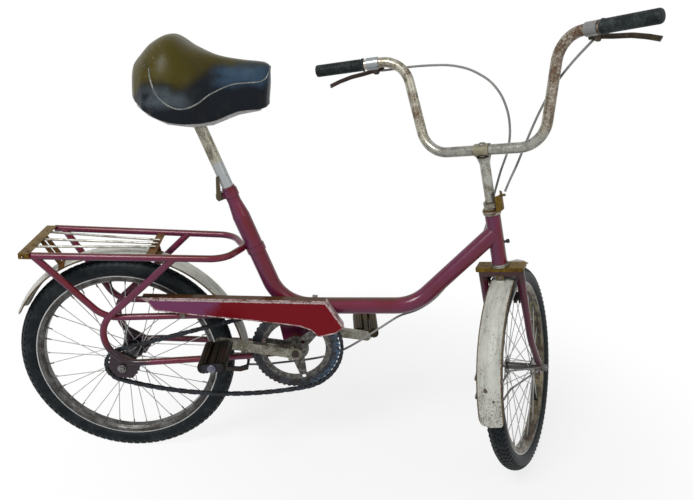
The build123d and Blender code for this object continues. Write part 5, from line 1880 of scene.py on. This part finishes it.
def dress_nodes() -> None:
    """Gives every CAD node its finish."""
    paint = WornPaint().build("mauve_paint")
    chrome = PittedMetal(rust=0.42).build("worn_chrome")
    crank = PittedMetal(colour=(0.24, 0.235, 0.195), stain=(0.1, 0.09, 0.065), rust=0.22, grain=200.0, gloss=0.24,
                        metal=0.75).build("crank_steel")
    post = PittedMetal(rust=0.34, colour=(0.42, 0.40, 0.32), stain=(0.14, 0.12, 0.085), grain=300.0,
                       gloss=0.28).build("post_steel", post_tint)
    plated = PittedMetal(rust=0.3, colour=(0.40, 0.40, 0.36), stain=(0.16, 0.145, 0.11), grain=300.0, gloss=0.26)
    bright = plated.build("post_chrome")
    stem = plated.build("stem_chrome", stem_tint)
    bar = PittedMetal(rust=0.42, colour=(0.42, 0.40, 0.33), stain=(0.13, 0.105, 0.07), grain=340.0, gloss=0.24,
                      metal=0.7).build("bar_chrome", bar_tint)
    plate = PittedMetal(colour=(0.16, 0.098, 0.012), stain=(0.085, 0.048, 0.006), rust=0.45, metal=0.4,
                        gloss=0.42, shine=0.15).build("tinted_plate")
    brown = PittedMetal(colour=(0.14, 0.062, 0.012), stain=(0.07, 0.03, 0.008), rust=0.5, metal=0.3,
                        gloss=0.5, shine=0.15).build("brown_plate")
    steel = PittedMetal(colour=(0.2, 0.2, 0.2), stain=(0.08, 0.07, 0.06), rust=0.5, gloss=0.38).build("dull_steel")
    dark = PittedMetal(colour=(0.03, 0.028, 0.03), stain=(0.016, 0.013, 0.012), rust=0.45, metal=0.4,
                       gloss=0.42).build("dark_steel")
    # The near pedal's red-brown dust is partly real dust and partly painted reddish highlights, in patches and on worn
    # edges.
    rubber = Rubber(colour=(0.005, 0.0055, 0.003), dust=(0.06, 0.02, 0.011), dusty=0.32).build("pedal_rubber")
    far_rubber = Rubber(colour=(0.02, 0.014, 0.004), dust=(0.075, 0.045, 0.012), dusty=0.8).build("far_pedal_rubber")
    pan = PittedMetal(colour=(0.56, 0.56, 0.55), stain=(0.44, 0.43, 0.41), rust=0.04, metal=0.1,
                      gloss=0.5).build("pan_grey")
    hub = PittedMetal(colour=(0.1, 0.1, 0.1), rust=0.2, grain=120.0)
    clean = PittedMetal(rust=0.3, colour=(0.13, 0.13, 0.125), stain=(0.045, 0.042, 0.038), grain=260.0)
    olive = PittedMetal(rust=0.45, colour=(0.21, 0.185, 0.115), stain=(0.08, 0.062, 0.035), grain=260.0)
    looks = {
        "front_rim": olive.build("front_rim_chrome", rim_tint(FRONT)),
        "rear_rim": clean.build("rear_rim_chrome", rim_tint(MAIN)),
        "brake_lever_left": PittedMetal(colour=(0.05, 0.03, 0.022), stain=(0.03, 0.016, 0.012), rust=0.3, metal=0.6,
                                        gloss=0.3).build("left_lever", lever_tint(Side.LEFT, (0.27, 0.29, 0.30))),
        "brake_lever_right": PittedMetal(colour=(0.075, 0.058, 0.032), stain=(0.025, 0.02, 0.014), rust=0.35, metal=0.6,
                                         gloss=0.3).build("right_lever", lever_tint(Side.RIGHT, (0.22, 0.225, 0.22))),
        "chain_guard": WornPaint(gloss=0.24, top_rust=0.0, chips=-0.6, edge_width=0.5,
                                 shine=0.08).build("guard_paint", guard_tint),
        "lower_stay_right": WornPaint().build("right_stay_paint", drop_tint),
        "lower_stay_left": WornPaint().build("left_stay_paint", drop_tint),
        "seat_clamp": WornPaint(colour=(0.13, 0.004, 0.012)).build("clamp_paint", clamp_tint),
        "fork": WornPaint().build("fork_paint", fork_tint),
        "head_tube": WornPaint().build("head_paint", head_highlight_tint),
        "chainring": PittedMetal(colour=(0.045, 0.05, 0.06), stain=(0.017, 0.016, 0.017), rust=0.25,
                                 gloss=0.33).build("ring_steel", ring_tint),
        "front_hub": hub.build("front_hub_steel", hub_tint(FRONT, (0.09, 0.085, 0.08))),
        "rear_hub": hub.build("rear_hub_steel", hub_tint(MAIN, (0.02, 0.016, 0.02))),
    }
    groups = {
        "handlebar": bar, "stem": stem, "seatpost": post, "crank_right": crank, "crank_left": crank,
        "rear_sprocket": dark, "crank_spindle": dark, "front_axle": steel,
        "rear_axle": steel, "pedal_left": far_rubber, "pedal_right": rubber, "crown_cap": plate,
        "cable_hanger": plate, "rack_end_plate": plate, "rack_crossbar": brown, "rack_hoops": brown,
        "rack_wires": bright, "head_cups": chrome, "headset_nuts": chrome,
        "head_peg": dark, "front_brake": dark,
        "rear_brake": dark, "front_fender_stays": steel, "guard_straps": steel, "saddle_pan": pan,
    }
    looks.update(groups)
    for name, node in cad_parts.items():
        node.data.materials.clear()
        node.data.materials.append(looks.get(name, paint))


def main() -> None:
    """Builds the whole scene."""
    logging.basicConfig(level=logging.INFO, format="%(message)s")
    cad_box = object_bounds()
    Viewpoint().build()
    dress_nodes()
    Saddle().build()
    rubber = Rubber(colour=(0.004, 0.007, 0.009), dust=(0.05, 0.06, 0.062), dusty=0.35, gloss=0.48).build("tyre_rubber")
    steel = PittedMetal(colour=(0.3, 0.3, 0.29), stain=(0.12, 0.11, 0.09), rust=0.4, gloss=0.36).build("fitting_steel")
    Tyre(MAIN, Body.REAR_WHEEL, "rear_tyre").build(rubber)
    Tyre(FRONT, Body.FRONT_WHEEL, "front_tyre").build(rubber)
    WheelFittings(MAIN, Body.REAR_WHEEL, "rear", valve_at=100.0).build(steel, rubber)
    WheelFittings(FRONT, Body.FRONT_WHEEL, "front", valve_at=-60.0).build(steel, rubber)
    chain = Chain()
    chain.build(PittedMetal(colour=(0.03, 0.036, 0.046), stain=(0.013, 0.013, 0.014), rust=0.25,
                            gloss=0.36).build("chain_steel"))
    RingTeeth(chain).build(PittedMetal(colour=(0.035, 0.04, 0.05), stain=(0.014, 0.013, 0.014), rust=0.3,
                                       gloss=0.33).build("tooth_steel", ring_tint))
    trim = PittedMetal(colour=(0.5, 0.38, 0.38), stain=(0.2, 0.07, 0.07), rust=0.55, metal=0.0,
                       gloss=0.5).build("guard_trim")
    GuardTrim().build(trim)
    grip_rubber = Rubber(colour=(0.006, 0.009, 0.01), dust=(0.07, 0.085, 0.085), dusty=0.7).build("grip_rubber")
    for side in Side:
        Grip(side).build(grip_rubber)
    sleeve = Rubber(colour=(0.22, 0.22, 0.21), dust=(0.4, 0.4, 0.38), gloss=0.5).build("cable_sleeve")
    CableSleeve("front_cable_sleeve", ("front_cable",), BAR.point(24, -60, 520), BAR.point(24, -26, 462)).build(sleeve)
    CableSleeve("rear_cable_sleeve", ("rear_cable_upper", "rear_cable_lower"), HEAD.point(30, 20, 500),
                HEAD.point(-10, 20, 400)).build(sleeve)
    rear_fender = Axes(Vector((10.0, 0, 0)), MAIN.forward, MAIN.left, MAIN.up)
    FenderSkin(rear_fender, Body.FRAME, "rear_fender", 272.0, 10.5, 156.0, (0.85, 0.82),
               ((264.0, 23.6), (265.5, 23.6), (265.5, 40.6), (266.5, 54.2), (265.0, 54.2), (264.0, 40.6))
               ).build(StreakedEnamel(rear_fender, shaded_tab_from=0.3).build("rear_enamel"))
    front_spots = tuple((FRONT.point(263.0 * cos(radians(at)), y, 263.0 * sin(radians(at))), size)
                        for at, y, size in ((158.0, 6.0, 0.0045), (163.0, -11.0, 0.003), (174.0, 20.0, 0.004)))
    FenderSkin(FRONT, Body.STEERING, "front_fender", 262.0, 66.0, 176.0, (0.94, 0.74),
               ((-49.0, 257.0), (-47.0, 257.0), (-47.0, 274.0), (-49.0, 274.0))
               ).build(StreakedEnamel(FRONT, spots=front_spots).build("front_enamel"))
    dark = PittedMetal(colour=(0.03, 0.03, 0.04), stain=(0.012, 0.011, 0.014), rust=0.3, gloss=0.35).build("cap_plate")
    ring = PittedMetal(colour=(0.15, 0.15, 0.20), stain=(0.04, 0.038, 0.055), rust=0.3, gloss=0.3).build("cap_ring")
    PedalCap(Side.RIGHT, (221.0, 80.05), 9.0).build(ring, dark)
    PedalCap(Side.LEFT, (559.0, 42.75), 0.0).build(ring, dark)
    Fasteners(steel).build()
    low, _ = cad_box
    Studio(low.z).build()


if __name__ == "__main__":
    main()
